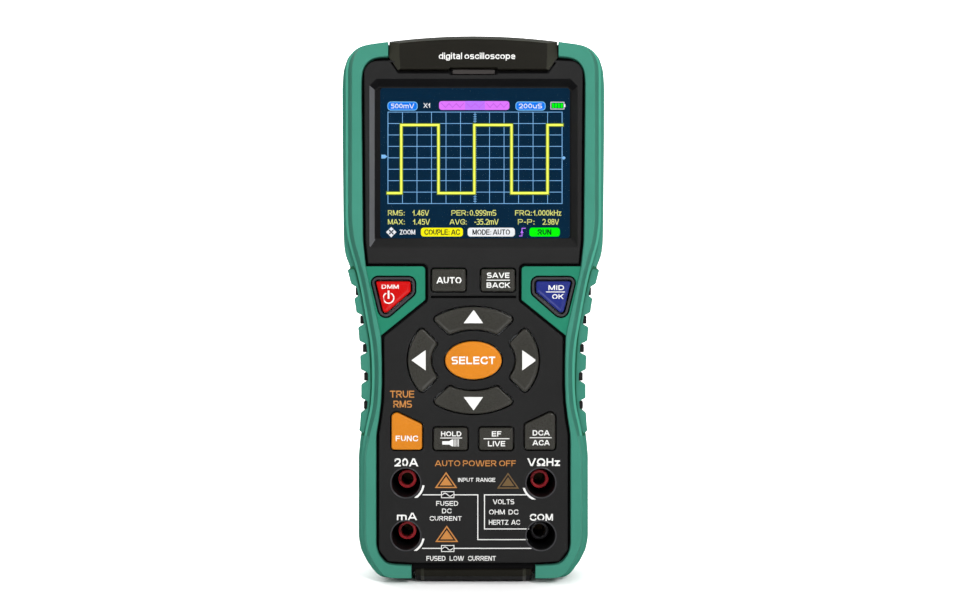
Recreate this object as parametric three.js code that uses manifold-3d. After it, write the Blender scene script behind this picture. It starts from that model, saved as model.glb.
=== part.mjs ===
// Handheld oscilloscope with multimeter inputs: a two-shell ABS case with moulded-on rubber
// grips, a colour display, thirteen keys, four shrouded 4 mm sockets, a tilt stand and a
// battery bay with its own door.
//
// Frame, in millimetres: +Z runs up the instrument, -Y points out of its front face and +X is
// to its right. The origin is the middle of its footprint, on the surface it stands on.
import * as THREE from "three";
import { mergeVertices } from "three/addons/utils/BufferGeometryUtils.js";
import Module from "manifold-3d";

const wasm = await Module();
wasm.setup();

// ---------- driving dimensions ----------
const GAP = 0.3; // clearance between pieces that touch
const FRONT = -21; // faces of the rails and of the keys
const BACK = 21; // outer face of the folded stand
const PANEL = FRONT + 0.8; // face of the black panels
const WING = FRONT + 0.7; // face of the green wings round the two corner keys
const SPLIT = -14.7; // parting plane of the two shells
const REAR = 20; // flat back of the rear shell
const TOP = 198.5; // top of the end cap
const WALL = 2; // thickness of the front wall
const KEY_TRAVEL = 0.8;

// Where the green rail starts to curve in to the waist, and where it has come out again.
const WAIST_TOP = 131;
const WAIST_LOW = 46;

const PAD_PITCH = 10.4; // grip pads along each side
const PAD_TOP = 113.9;
const PAD_HEIGHT = 6;
const PAD_COUNT = 6;

const SCREEN = { half: 34.4, low: 124.8, high: 179.4, slope: 3.2, drop: 2.3, depth: 3 };
const NAV = { z: 80.7, outer: [23.6, 19.3], inner: [15.3, 11.1], select: [10.2, 6.85] };
const SOCKET = { x: 24.35, low: 17.5, pitch: 19, well: 5.15, depth: 12.7 };
const BAY = { half: 20, low: 49.5, high: 119.5, floor: -1.5 };
const DOOR = { half: 22, low: 43.5, high: 124.3, thickness: 2.7 };
const CELL = { radius: 9.2, length: 65, x: 9.7, y: 8 };
const STAND = { outer: 30.4, inner: 24.2, low: 27, foot: 9, pivotZ: 136, thickness: 3.4 };
const PIVOT_RADIUS = 2.2;
const PIVOT_Y = BACK - PIVOT_RADIUS;
const PIN = 1.6; // radius of the stand's two pivot pins
const CASE_SCREWS = [
  [33, 184],
  [-33, 184],
  [11, 13],
  [-11, 13],
];

// ---------- outlines, drawn as [x, z] seen from the front ----------

/** x as a smooth function of z, through knots given as [z, x] from the top down. */
function curveThrough(knots) {
  const slope = knots.map((knot, i) => {
    const before = knots[Math.max(i - 1, 0)];
    const after = knots[Math.min(i + 1, knots.length - 1)];
    return (after[1] - before[1]) / (after[0] - before[0]);
  });
  return (z) => {
    let i = 0;
    while (i < knots.length - 2 && z < knots[i + 1][0]) i++;
    const [z0, x0] = knots[i];
    const [z1, x1] = knots[i + 1];
    const span = z1 - z0;
    const t = Math.min(Math.max((z - z0) / span, 0), 1);
    const blend = t * t * (3 - 2 * t);
    const lead = t * (1 - t) * (1 - t) * span * slope[i];
    const trail = t * t * (1 - t) * span * slope[i + 1];
    return x0 + (x1 - x0) * blend + lead - trail;
  };
}

/** Outer edge of the front face of the rail, below its top corner. */
const railSide = curveThrough([
  [WAIST_TOP, 44.4], [124.1, 43.5], [116.9, 41.5], [109.7, 39.6], [95.3, 36.9], [85, 35.2],
  [74, 34.8], [64, 35.4], [55.7, 37.2], [WAIST_LOW, 38.7],
]);
/** Side of the rear grip under its pads. */
const gripSide = curveThrough([
  [WAIST_TOP, 47.5], [123, 47.3], [118.5, 46.6], [114.3, 45], [106, 42.9], [98, 41.1],
  [90, 39.9], [82, 39.3], [74, 39], [66, 39.1], [59.5, 39.9], [53, 41.2], [WAIST_LOW, 41.9],
]);
/** Outer faces of the grip pads. */
const padSide = curveThrough([
  [PAD_TOP, 46], [103.2, 43.5], [92.3, 42], [81.7, 41.2], [71.5, 40.9], [61.7, 41.1],
  [54.2, 41.6],
]);

function steps(from, to, count) {
  return Array.from({ length: count + 1 }, (_, i) => from + ((to - from) * i) / count);
}

/** Rounds the corners of an outline given as [x, z, radius]; no radius leaves a corner sharp. */
function rounded(corners, arcSteps = 3) {
  const points = [];
  corners.forEach(([x, z, radius = 0], i) => {
    const corner = new THREE.Vector2(x, z);
    if (!radius) {
      points.push(corner);
      return;
    }
    const [bx, bz] = corners.at(i - 1);
    const [ax, az] = corners[(i + 1) % corners.length];
    const toBefore = new THREE.Vector2(bx, bz).sub(corner).normalize();
    const toAfter = new THREE.Vector2(ax, az).sub(corner).normalize();
    const half = Math.acos(THREE.MathUtils.clamp(toBefore.dot(toAfter), -1, 1)) / 2;
    const start = toBefore.clone().multiplyScalar(radius / Math.tan(half)).add(corner);
    const end = toAfter.clone().multiplyScalar(radius / Math.tan(half)).add(corner);
    const middle = toBefore.clone().add(toAfter).normalize();
    const centre = middle.multiplyScalar(radius / Math.sin(half)).add(corner);
    const from = start.sub(centre).angle();
    let turn = end.sub(centre).angle() - from;
    turn -= Math.round(turn / (2 * Math.PI)) * 2 * Math.PI;
    for (const angle of steps(from, from + turn, arcSteps)) {
      const spoke = new THREE.Vector2(Math.cos(angle), Math.sin(angle));
      points.push(spoke.multiplyScalar(radius).add(centre));
    }
  });
  return points;
}

/** All corners of an outline from its right half, given from the top down as [x, z, radius]. */
function bothHalves(half) {
  const left = half.filter(([x]) => x > 0).map(([x, z, radius]) => [-x, z, radius]);
  return [...[...half].reverse(), ...left];
}

const bothSides = (half, arcSteps) => rounded(bothHalves(half), arcSteps);

function rectangle(left, right, low, high, radius = 0, arcSteps = 2) {
  const corners = [[left, low], [right, low], [right, high], [left, high]];
  return rounded(corners.map((corner) => [...corner, radius]), arcSteps);
}

function ellipse(x, z, a, b, count) {
  return steps(0, 2 * Math.PI, count)
    .slice(0, count)
    .map((t) => new THREE.Vector2(x + a * Math.cos(t), z + b * Math.sin(t)));
}

/** An outline moved out along its normals; sideways and lengthwise may differ. */
function grow(outline, sideways, lengthwise = sideways) {
  return outline.map((point, i) => {
    const into = point.clone().sub(outline.at(i - 1)).normalize();
    const out = outline[(i + 1) % outline.length].clone().sub(point).normalize();
    const a = new THREE.Vector2(into.y, -into.x);
    const b = new THREE.Vector2(out.y, -out.x);
    const normal = a.clone().add(b).divideScalar(1 + a.dot(b));
    return new THREE.Vector2(point.x + normal.x * sideways, point.y + normal.y * lengthwise);
  });
}

/** The corners of an outline moved in by a distance, with the radii that keep it parallel. */
function inset(corners, distance) {
  const points = corners.map(([x, z]) => new THREE.Vector2(x, z));
  return grow(points, -distance).map((moved, i) => {
    const radius = corners[i][2] ?? 0;
    const into = points[i].clone().sub(points.at(i - 1));
    const out = points[(i + 1) % points.length].clone().sub(points[i]);
    const change = into.cross(out) > 0 ? -distance : distance;
    return [moved.x, moved.y, radius && Math.max(radius + change, 0)];
  });
}

const mirrored = (outline) =>
  [...outline].reverse().map((point) => new THREE.Vector2(-point.x, point.y));

// ---------- solids ----------

/** A manifold solid from a closed three.js geometry. */
function solid(geometry) {
  const bare = geometry.index ? geometry.toNonIndexed() : geometry.clone();
  bare.deleteAttribute("normal");
  bare.deleteAttribute("uv");
  const merged = mergeVertices(bare, 1e-4);
  return new wasm.Manifold(
    new wasm.Mesh({
      numProp: 3,
      vertProperties: merged.attributes.position.array,
      triVerts: new Uint32Array(merged.index.array),
    }),
  );
}

/** Joins same-length outlines, each at its own y, into one solid from front to back. */
function stack(rings) {
  const count = rings[0][0].length;
  const positions = rings.flatMap(([outline, y]) => outline.flatMap((p) => [p.x, y, p.y]));
  const faces = [];
  const last = (rings.length - 1) * count;
  for (const [a, b, c] of THREE.ShapeUtils.triangulateShape(rings[0][0], []))
    faces.push(a, b, c);
  for (const [a, b, c] of THREE.ShapeUtils.triangulateShape(rings.at(-1)[0], []))
    faces.push(last + a, last + c, last + b);
  for (let ring = 0; ring < last; ring += count)
    for (let i = 0; i < count; i++) {
      const a = ring + i;
      const b = ring + ((i + 1) % count);
      faces.push(a, a + count, b, b, a + count, b + count);
    }
  const geometry = new THREE.BufferGeometry();
  geometry.setAttribute("position", new THREE.Float32BufferAttribute(positions, 3));
  geometry.setIndex(faces);
  return solid(geometry);
}

const slab = (outline, front, back) => stack([[outline, front], [outline, back]]);

function block(x0, x1, y0, y1, z0, z1) {
  const geometry = new THREE.BoxGeometry(x1 - x0, y1 - y0, z1 - z0);
  geometry.translate((x0 + x1) / 2, (y0 + y1) / 2, (z0 + z1) / 2);
  return solid(geometry);
}

/** A round bar along Y through (x, z). */
function bar(x, z, radius, front, back, sides = 12) {
  return slab(ellipse(x, z, radius, radius, sides), front, back);
}

/** A round bar along X through (y, z). */
function crossBar(y, z, radius, left, right, sides = 16) {
  const geometry = new THREE.CylinderGeometry(radius, radius, right - left, sides);
  geometry.rotateZ(Math.PI / 2);
  geometry.translate((left + right) / 2, y, z);
  return solid(geometry);
}

/** A section in the YZ plane, drawn as [y, z], carried from one x to another. */
function sweptAlongX(section, left, right) {
  const shape = new THREE.Shape(section.map(([y, z]) => new THREE.Vector2(y, z)));
  const geometry = new THREE.ExtrudeGeometry(shape, { depth: right - left, bevelEnabled: false });
  // The shape's own axes become Y and Z, and its depth becomes X.
  geometry.applyMatrix4(new THREE.Matrix4().set(0, 0, 1, left, 1, 0, 0, 0, 0, 1, 0, 0, 0, 0, 0, 1));
  return solid(geometry);
}

const union = (pieces) => pieces.reduce((whole, piece) => whole.add(piece));
const cut = (whole, pieces) => pieces.reduce((left, piece) => left.subtract(piece), whole);

// ---------- the assembly ----------
const oscilloscope = new THREE.Group();
oscilloscope.name = "handheld_oscilloscope";

const MATERIALS = {
  case_black: { color: 0x262626, roughness: 0.6 },
  grip_green: { color: 0x4f9682, roughness: 0.75 },
  key_grey: { color: 0x3e3d38, roughness: 0.55 },
  key_red: { color: 0xd80008, roughness: 0.5 },
  key_blue: { color: 0x2b3a8c, roughness: 0.5 },
  key_orange: { color: 0xe28f2a, roughness: 0.5 },
  clear: { color: 0xdfe6ea, roughness: 0.1 },
  screen: { color: 0x0c283e, roughness: 0.2 },
  indicator: { color: 0x3c302e, roughness: 0.3 },
  socket_red: { color: 0x8c2830, roughness: 0.45 },
  socket_black: { color: 0x1c1c1c, roughness: 0.45 },
  brass: { color: 0xb08d4a, roughness: 0.3, metalness: 1 },
  steel: { color: 0x9a9a9c, roughness: 0.35, metalness: 1 },
  board_green: { color: 0x1e5a36, roughness: 0.5 },
  silicone: { color: 0x8d9092, roughness: 0.8 },
  ceramic: { color: 0xd9d6cc, roughness: 0.5 },
  cell_wrap: { color: 0x2f6f8f, roughness: 0.4 },
  rubber: { color: 0x1a1a1a, roughness: 0.9 },
};
for (const [name, look] of Object.entries(MATERIALS))
  MATERIALS[name] = new THREE.MeshStandardMaterial({ name, ...look });

function geometryOf(body) {
  const { numProp, numVert, vertProperties, triVerts } = body.getMesh();
  const positions = new Float32Array(numVert * 3);
  for (let i = 0; i < numVert; i++)
    positions.set(vertProperties.subarray(i * numProp, i * numProp + 3), i * 3);
  const geometry = new THREE.BufferGeometry();
  geometry.setAttribute("position", new THREE.BufferAttribute(positions, 3));
  geometry.setIndex(new THREE.BufferAttribute(triVerts, 1));
  geometry.computeVertexNormals();
  return geometry;
}

function place(name, material, body) {
  const mesh = new THREE.Mesh(geometryOf(body), MATERIALS[material]);
  mesh.name = name;
  oscilloscope.add(mesh);
  return mesh;
}

/** One piece on the right and its mirror image on the left. */
function placePair(name, material, body) {
  const right = place(`${name}_right`, material, body);
  const left = place(`${name}_left`, material, body);
  left.geometry = right.geometry;
  left.scale.x = -1;
}

// ---------- outlines of the case ----------
const waistSteps = steps(WAIST_TOP, WAIST_LOW, 13);

/** Front face of the rails. */
const railFace = bothSides([
  [0, 196.8], [31.1, 195.6], [39.2, 194.5], [41.9, 192.9], [43.7, 190], [44.4, 186.7],
  ...waistSteps.map((z) => [railSide(z), z]),
  [38.7, 16.1], [37.9, 12], [35.6, 7.5], [33.2, 3.9], [31.6, 2.6], [29.5, 2.2],
]);
const railFoot = grow(railFace, 1.9, 0.9);

/** Rear grips, without their pads. */
const gripBody = bothSides([
  [0, 198], [31.5, 196.7], [39.5, 195.5], [43.1, 194.2], [46, 191], [47.5, 186.2], [47.9, 180],
  ...waistSteps.map((z) => [gripSide(z), z]),
  [41.9, 15.8], [41.1, 11.5], [38.9, 7.1], [35.6, 2.7], [33.6, 1.3], [31, 1],
]);
const rearShell = grow(gripBody, -3.1);

/** Opening in the front rubber that shows the black panels. */
const panelCorners = bothHalves([
  [0, 190.9], [40.6, 189.6, 5.8], [40.4, 174.5], [39.9, 124.1], [38.9, 114.6, 0.5],
  [17.4, 114.6, 1.1], [17.4, 102.5, 1.2], [33.3, 89.7, 2.6],
  [33.1, 72], [33.4, 65.5], [34.2, 59], [35, 54.5], [35.1, 51], [35.1, 11.8, 3],
  [31.2, 7.1, 1.5], [22, 6.6],
]);
const panelInset = (distance) => rounded(inset(panelCorners, distance));

// ---------- keys ----------
const KEY_SIZE = [12.2, 8.1];

function padKey(x, z) {
  const [wide, tall] = KEY_SIZE;
  return rectangle(x - wide / 2, x + wide / 2, z - tall / 2, z + tall / 2, 0.9);
}

/** One quarter of the ring round the middle key, between two pairs of angles in degrees. */
function ringKey(outerFrom, outerTo, innerFrom, innerTo) {
  const corner = 1.3;
  const arc = ([a, b], from, to, count) =>
    steps(from, to, count).map((degrees, i) => {
      const t = THREE.MathUtils.degToRad(degrees);
      const end = i === 0 || i === count;
      return [a * Math.cos(t), NAV.z + b * Math.sin(t), end ? corner : 0];
    });
  return rounded([
    ...arc(NAV.outer, outerFrom, outerTo, 6),
    ...arc(NAV.inner, innerTo, innerFrom, 4),
  ], 2);
}

const cornerKey = rounded([
  [22.6, 109.2, 1.3], [22.6, 105.4, 1.2], [32.4, 96.7, 1.3], [35.1, 109.2, 1],
], 2);
const slantKey = rounded([
  [18.5, 48.5, 1], [29.5, 48.5, 1], [29.5, 62.9, 1.8], [18.5, 57.7, 1.4],
], 2);
const KEYS = {
  key_power: [mirrored(cornerKey), "key_red"],
  key_confirm: [cornerKey, "key_blue"],
  key_auto: [padKey(-8.87, 109.6), "key_grey"],
  key_save: [padKey(8.87, 109.6), "key_grey"],
  key_up: [ringKey(50.9, 129.1, 55.8, 124.2), "key_grey"],
  key_down: [ringKey(230.9, 309.1, 235.8, 304.2), "key_grey"],
  key_right: [ringKey(-38, 38, -33.2, 33.2), "key_grey"],
  key_left: [ringKey(142, 218, 146.8, 213.2), "key_grey"],
  key_select: [ellipse(0, NAV.z, ...NAV.select, 22), "key_orange"],
  key_function: [mirrored(slantKey), "key_orange"],
  key_range: [slantKey, "key_grey"],
  key_hold: [padKey(-8.2, 52.4), "key_grey"],
  key_live: [padKey(8.2, 52.4), "key_grey"],
};
const KEY_HOLE = 0.45; // gap all round a key
const KEY_LIP = [0.2, 0.8]; // sideways and lengthwise, what keeps a key in the case
const flangeFront = PANEL + WALL + GAP;
const keyBack = -15.6;
const matFront = keyBack + KEY_TRAVEL + GAP;

for (const [name, [outline, material]] of Object.entries(KEYS)) {
  const lip = grow(outline, ...KEY_LIP);
  place(name, material, stack([
    [grow(outline, -0.4), FRONT],
    [outline, FRONT + 0.4],
    [outline, flangeFront],
    [lip, flangeFront],
    [lip, keyBack],
  ]));
}

// ---------- end caps ----------
const capOuter = bothSides([
  [0, 197.6], [10, 197.3], [20, 196.5], [29.6, 195.2], [30.2, 194.6], [30.2, 191.1], [27.3, 185.3],
]);
const capFace = bothSides([
  [0, 194.3], [10, 194.2], [20, 193.8], [25.6, 193.3], [26, 193], [26, 190], [25.9, 186.6],
]);
const capCrown = bothSides([
  [0, TOP], [10, TOP - 0.3], [20, TOP - 1.1], [29.8, 196.6], [30.2, 196.1], [30.2, 195.2],
]);

function topCap() {
  const nose = stack([[capFace, FRONT + 0.2], [capOuter, FRONT + 2.7], [capOuter, -17.2]]);
  const crown = stack([
    [grow(capCrown, 0, -0.3), FRONT + 3.4],
    [capCrown, FRONT + 4.6],
    [capCrown, 13.5],
    [grow(capCrown, 0, -0.3), 14.6],
  ]);
  return nose.add(crown);
}

function bottomCap() {
  const section = [
    [-20.4, 5.8], [-20.4, 4], [-15, 0], [13.5, 0], [15, 1.2], [15, 3], [-17.2, 3], [-17.2, 5.8],
  ];
  const arch = bothSides([[21.6, 8], [21.6, 0.9], [17, 0.35], [12, 0]]);
  return sweptAlongX(section, -21.6, 21.6).intersect(slab(arch, -22, 16));
}

place("top_end_cap", "case_black", topCap());
place("bottom_end_cap", "case_black", bottomCap());
const capNotches = [block(-31, 31, -22, 16, 185, 200), block(-22, 22, -22, 16, -1, 10)];

// ---------- front rubber: rails with a wing round each corner key ----------
function frontRubber() {
  const outside = stack([[railFace, FRONT], [railFoot, -16], [railFoot, SPLIT]]);
  // The wings lie a little below the rails, which cross them along a straight line.
  const wingFace = rounded([[10, 88.2], [33.3, 88.2], [38.9, 114.4], [38.9, 116], [10, 116]]);
  return cut(outside, [
    slab(panelInset(0), -22, -14),
    slab(grow(railFoot, -1.9), -17.2, -14),
    slab(wingFace, -22, WING),
    slab(grow(cornerKey, 2.3), -22, -14),
    ...capNotches,
    block(-60, 0.5, -22, 20, -1, 200),
  ]);
}
placePair("front_grip", "grip_green", frontRubber());

// ---------- rear rubber: side grips with six pads ----------
const padTops = steps(0, PAD_COUNT - 1, PAD_COUNT - 1).map((i) => PAD_TOP - i * PAD_PITCH);
const padLow = padTops.at(-1) - PAD_HEIGHT - 1.5;
const notches = padTops.slice(0, -1).map((z) => [z - PAD_PITCH, z - PAD_HEIGHT]);
const RIB_HEIGHT = 3;
const ribCentres = notches.map(([low, high]) => (low + high) / 2);

function pads() {
  const zs = steps(padLow, PAD_TOP, 13);
  const ring = (inwards) => [
    ...zs.map((z) => new THREE.Vector2(padSide(z) - inwards, z)),
    ...[...zs].reverse().map((z) => new THREE.Vector2(gripSide(z) - 3.6, z)),
  ];
  const strip = stack([[ring(2.9), -13.4], [ring(0), -9.5], [ring(0), 8], [ring(1.6), 12]]);
  return cut(strip, notches.map(([low, high]) => block(30, 60, -20, 20, low, high)));
}

function sideRubber() {
  const outside = stack([
    [grow(gripBody, -1.4), SPLIT + GAP],
    [gripBody, -13.2],
    [gripBody, 9],
    [grow(gripBody, -2), 14.5],
  ]);
  const windows = ribCentres.map((z) =>
    block(30, 60, -8.3, 6.3, z - RIB_HEIGHT / 2 - GAP, z + RIB_HEIGHT / 2 + GAP),
  );
  return cut(outside.add(pads()), [
    slab(grow(gripBody, -2.8), -15, 16),
    ...windows,
    block(-60, 31.4, -22, 16, 150, 200),
    block(-60, 22.4, -22, 16, -1, 20),
    block(-60, 0.5, -22, 20, -1, 200),
  ]);
}
placePair("side_grip", "grip_green", sideRubber());

// ---------- front shell ----------
const screenHole = rectangle(-SCREEN.half, SCREEN.half, SCREEN.low, SCREEN.high, 1.3);
const bezelEdge = grow(screenHole, SCREEN.slope, SCREEN.drop + 0.2);
const INDICATOR = { half: 7.6, low: 183.45, high: 185.05 };
const sockets = [1, 0].flatMap((row) =>
  [-1, 1].map((side) => [side * SOCKET.x, SOCKET.low + row * SOCKET.pitch]),
);

function frontShell() {
  const panel = stack([
    [panelInset(1.3), PANEL],
    [panelInset(1), PANEL + 0.3],
    [panelInset(1), -15.5],
  ]);
  const flange = slab(grow(railFoot, -2.2), -16.9, -14.9);
  const collars = [cornerKey, mirrored(cornerKey)].map((key) => slab(grow(key, 2), PANEL - 0.3, -15));
  const body = cut(union([panel, flange, ...collars]), [
    slab(panelInset(3), PANEL + WALL, -14),
    ...Object.values(KEYS).map(([outline]) =>
      slab(grow(outline, KEY_LIP[0] + 0.4, KEY_LIP[1] + 0.4), PANEL + WALL, -14),
    ),
  ]);
  const rim = slab(grow(bezelEdge, 1), PANEL + 1, PANEL + SCREEN.depth + 0.3);
  const posts = CASE_SCREWS.map(([x, z]) => bar(x, z, 3, PANEL + 1, 6, 12));
  return cut(union([body, rim, ...posts]), [
    stack([
      [grow(bezelEdge, 0.1), PANEL - 0.1],
      [screenHole, PANEL + SCREEN.depth],
      [screenHole, -14],
    ]),
    ...Object.values(KEYS).map(([outline]) => slab(grow(outline, KEY_HOLE), -22, PANEL + WALL + 0.1)),
    ...sockets.map(([x, z]) => bar(x, z, SOCKET.well, -22, -14, 18)),
    ...CASE_SCREWS.map(([x, z]) => bar(x, z, 1.6, -4, 7, 12)),
    block(-INDICATOR.half - GAP, INDICATOR.half + GAP, -22, -17, INDICATOR.low - GAP, 187),
    // Groove between the screen panel and the keypad panel.
    block(-16.1, 16.1, -22, PANEL + 1, 103.2, 103.9),
    slab(grow(capOuter, 0.9), -22, -17),
    block(-31.4, 31.4, -18, -14, 194.9, 200),
    block(-22.4, 22.4, -22, -17, -1, 6.4),
  ]);
}
place("front_case", "case_black", frontShell());

// ---------- display ----------
const glassFront = PANEL + SCREEN.depth + 0.6;
place("display_window", "clear", block(-36, 36, glassFront, glassFront + 1, 123.3, 180.7));
place("display_module", "screen", block(-36.5, 36.5, glassFront + 1.3, glassFront + 4.3, 121.5, 180.6));
place("indicator_lens", "indicator", block(
  -INDICATOR.half, INDICATOR.half, PANEL + 0.1, -17.4, INDICATOR.low, INDICATOR.high,
));

// ---------- shrouded sockets ----------
const SOCKET_NAMES = ["20a", "volt", "ma", "com"];
const shroudEnd = 3;
const sleeveFront = PANEL + SOCKET.depth;

sockets.forEach(([x, z], i) => {
  const name = SOCKET_NAMES[i];
  const shroud = cut(bar(x, z, 6.4, PANEL + WALL + GAP, shroudEnd, 18), [
    bar(x, z, SOCKET.well, -20, shroudEnd - 1.5, 18),
    bar(x, z, 3.7, 0, 5, 16),
  ]);
  const sleeve = cut(bar(x, z, 3.4, sleeveFront, 5, 16), [
    bar(x, z, 2.3, -10, 6, 16),
    bar(x, z, 2.9, sleeveFront + 3, 6, 16),
  ]);
  const contact = cut(bar(x, z, 2.6, sleeveFront + 3.3, 7), [bar(x, z, 2.05, -10, 5.5)]);
  place(`socket_shroud_${name}`, "case_black", shroud);
  place(`socket_sleeve_${name}`, name === "com" ? "socket_black" : "socket_red", sleeve);
  place(`socket_contact_${name}`, "brass", contact);
});

// ---------- electronics ----------
const BOARD = { front: -9.6, back: -8 };

function mainBoard() {
  const outline = bothSides([
    [38, 180], [38, 112], [31, 104], [31, 52], [34.8, 46], [34.8, 15],
  ]);
  return cut(slab(outline, BOARD.front, BOARD.back), [
    ...sockets.map(([x, z]) => bar(x, z, 6.9, -12, -6, 14)),
    ...CASE_SCREWS.map(([x, z]) => bar(x, z, 3.5, -12, -6, 12)),
  ]);
}
place("main_board", "board_green", mainBoard());
const matOutline = bothSides([[34.5, 111.5], [34.5, 101], [30, 94], [30, 46.5]]);
place("key_mat", "silicone", slab(matOutline, matFront, matFront + 0.8));
place("buzzer", "case_black", bar(20, 130, 6, BOARD.back + GAP, -3.6));

const FUSE = { radius: 3.15, half: 16, y: BOARD.back + 5.1 };
for (const [name, z] of [["20a", 40], ["ma", 27]]) {
  const clip = (x) => block(x - 2.5, x + 2.5, BOARD.back + 1, FUSE.y + 1, z - 4.6, z + 4.6);
  const base = block(-16.5, 16.5, BOARD.back + GAP, BOARD.back + 1.1, z - 3, z + 3);
  const seat = crossBar(FUSE.y, z, FUSE.radius + GAP, -20, 20);
  place(`fuse_holder_${name}`, "brass", cut(union([base, clip(-12), clip(12)]), [seat]));
  place(`fuse_${name}`, "ceramic", crossBar(FUSE.y, z, FUSE.radius, -FUSE.half, FUSE.half));
}

// ---------- battery ----------
const cellLow = BAY.low + 2.5;
[-1, 1].forEach((side, i) => {
  const cell = new THREE.CylinderGeometry(CELL.radius, CELL.radius, CELL.length, 24);
  cell.rotateX(Math.PI / 2);
  cell.translate(side * CELL.x, CELL.y, cellLow + CELL.length / 2);
  place(`battery_cell_${i + 1}`, "cell_wrap", solid(cell));
});

/** A contact strip across one end of the bay, with a stud towards each cell. */
function cellContact(low, high, studLow, studHigh) {
  const studs = [-CELL.x, CELL.x].map((x) => block(x - 3, x + 3, 5, 11, studLow, studHigh));
  return union([block(-17, 17, 2, 14, low, high), ...studs]);
}
const cellHigh = cellLow + CELL.length;
place("battery_contact_low", "steel", cellContact(
  BAY.low + GAP, BAY.low + 0.9, BAY.low + 0.8, cellLow - GAP,
));
place("battery_contact_high", "steel", cellContact(
  BAY.high - 0.9, BAY.high - GAP, cellHigh + GAP, BAY.high - 0.8,
));

// ---------- rear shell ----------
const RECESS = 0.4; // clearance round the stand in its recess

function standRecess() {
  const floor = BACK - 2 * PIVOT_RADIUS - GAP;
  const edge = STAND.outer + RECESS;
  const low = STAND.low - 1.7;
  const island = rectangle(
    -STAND.inner + RECESS, STAND.inner - RECESS,
    STAND.low + STAND.foot + RECESS, STAND.pivotZ - PIVOT_RADIUS - RECESS, 1.5,
  );
  const whole = rectangle(-edge, edge, low, STAND.pivotZ + PIVOT_RADIUS + RECESS, 0.4);
  const socketHoles = crossBar(PIVOT_Y, STAND.pivotZ, PIN + 0.05, -edge - 2.3, edge + 2.3);
  // A scoop under the middle of the foot lets a fingertip lift the stand.
  const scoop = slab(ellipse(0, low, 9, 7, 16), floor + 0.8, BACK + 1);
  return union([cut(slab(whole, floor, BACK + 1), [slab(island, 0, 30)]), socketHoles, scoop]);
}

function rearShellBody() {
  const inside = grow(rearShell, -2.4);
  const outside = stack([
    [rearShell, SPLIT + 0.1],
    [rearShell, 15.6],
    [grow(rearShell, -0.7), 18],
    [grow(rearShell, -2.4), REAR],
  ]);
  const deep = (back, region) => slab(inside, -3.2, back).intersect(region);
  const hollow = union([
    slab(inside, -16, -3.1),
    deep(16.5, block(-60, 60, -4, 17, 141, 200)),
    deep(13.5, block(-60, 60, -4, 17, 0, 45)),
    deep(13.5, block(22.8, 60, -4, 17, 50, 128)),
    deep(13.5, block(-60, -22.8, -4, 17, 50, 128)),
  ]);
  const screwTubes = CASE_SCREWS.map(([x, z]) => bar(x, z, 4.4, 6.3, 17.5, 10));
  const ribs = ribCentres.flatMap((z) => {
    const reach = padSide(z) - 0.95;
    const root = gripSide(z) - 3.6;
    const span = [-8, 6, z - RIB_HEIGHT / 2, z + RIB_HEIGHT / 2];
    return [block(root, reach, ...span), block(-reach, -root, ...span)];
  });
  return cut(union([cut(outside, [hollow]), ...screwTubes, ...ribs]), [
    block(-BAY.half, BAY.half, BAY.floor, 22, BAY.low, BAY.high),
    slab(rectangle(-DOOR.half - GAP, DOOR.half + GAP, DOOR.low - GAP, DOOR.high + GAP, 2.3),
      REAR - DOOR.thickness - GAP, 22),
    standRecess(),
    ...CASE_SCREWS.flatMap(([x, z]) => [bar(x, z, 3.3, 14.3, 22), bar(x, z, 1.6, 5, 15, 12)]),
    ...doorScrews.map((z) => bar(0, z, 1.4, 10, 18, 12)),
    bar(0, TORCH.z, TORCH.radius + GAP, 10, 22, 16),
  ]);
}

const doorScrews = [46.8, 121.6];
const TORCH = { z: 180, radius: 3.2 };
place("rear_case", "case_black", rearShellBody());
place("torch_lens", "clear", union([
  bar(0, TORCH.z, TORCH.radius, 13.6, REAR + 0.2, 16),
  bar(0, TORCH.z, TORCH.radius + 1.2, 14.6, 16.2, 16),
]));

/** A cross-head screw along Y, driven from the back. */
function screw(x, z, head, shank, headFront, headBack, tip) {
  const slot = (wide, tall) =>
    block(x - wide, x + wide, headBack - 0.8, headBack + 1, z - tall, z + tall);
  const solidScrew = bar(x, z, head, headFront, headBack).add(bar(x, z, shank, tip, headFront + 0.1, 12));
  return cut(solidScrew, [slot(head * 0.6, 0.3), slot(0.3, head * 0.6)]);
}
CASE_SCREWS.forEach(([x, z], i) => {
  place(`case_screw_${i + 1}`, "steel", screw(x, z, 2.8, 1.3, 14.6, 17, -2));
});

// ---------- battery door, with its two captive screws ----------
function batteryDoor() {
  const plate = stack([
    [rectangle(-DOOR.half, DOOR.half, DOOR.low, DOOR.high, 2), REAR - DOOR.thickness],
    [rectangle(-DOOR.half, DOOR.half, DOOR.low, DOOR.high, 2), REAR - 0.4],
    [rectangle(-DOOR.half + 0.4, DOOR.half - 0.4, DOOR.low + 0.4, DOOR.high - 0.4, 1.6), REAR],
  ]);
  return cut(plate, doorScrews.flatMap((z) => [bar(0, z, 2.5, 18.4, 22), bar(0, z, 1.4, 15, 19, 12)]));
}
place("battery_door", "case_black", batteryDoor());
doorScrews.forEach((z, i) => {
  place(`door_screw_${i + 1}`, "steel", screw(0, z, 2.2, 1.1, 18.7, REAR - 0.1, 11));
});

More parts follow.
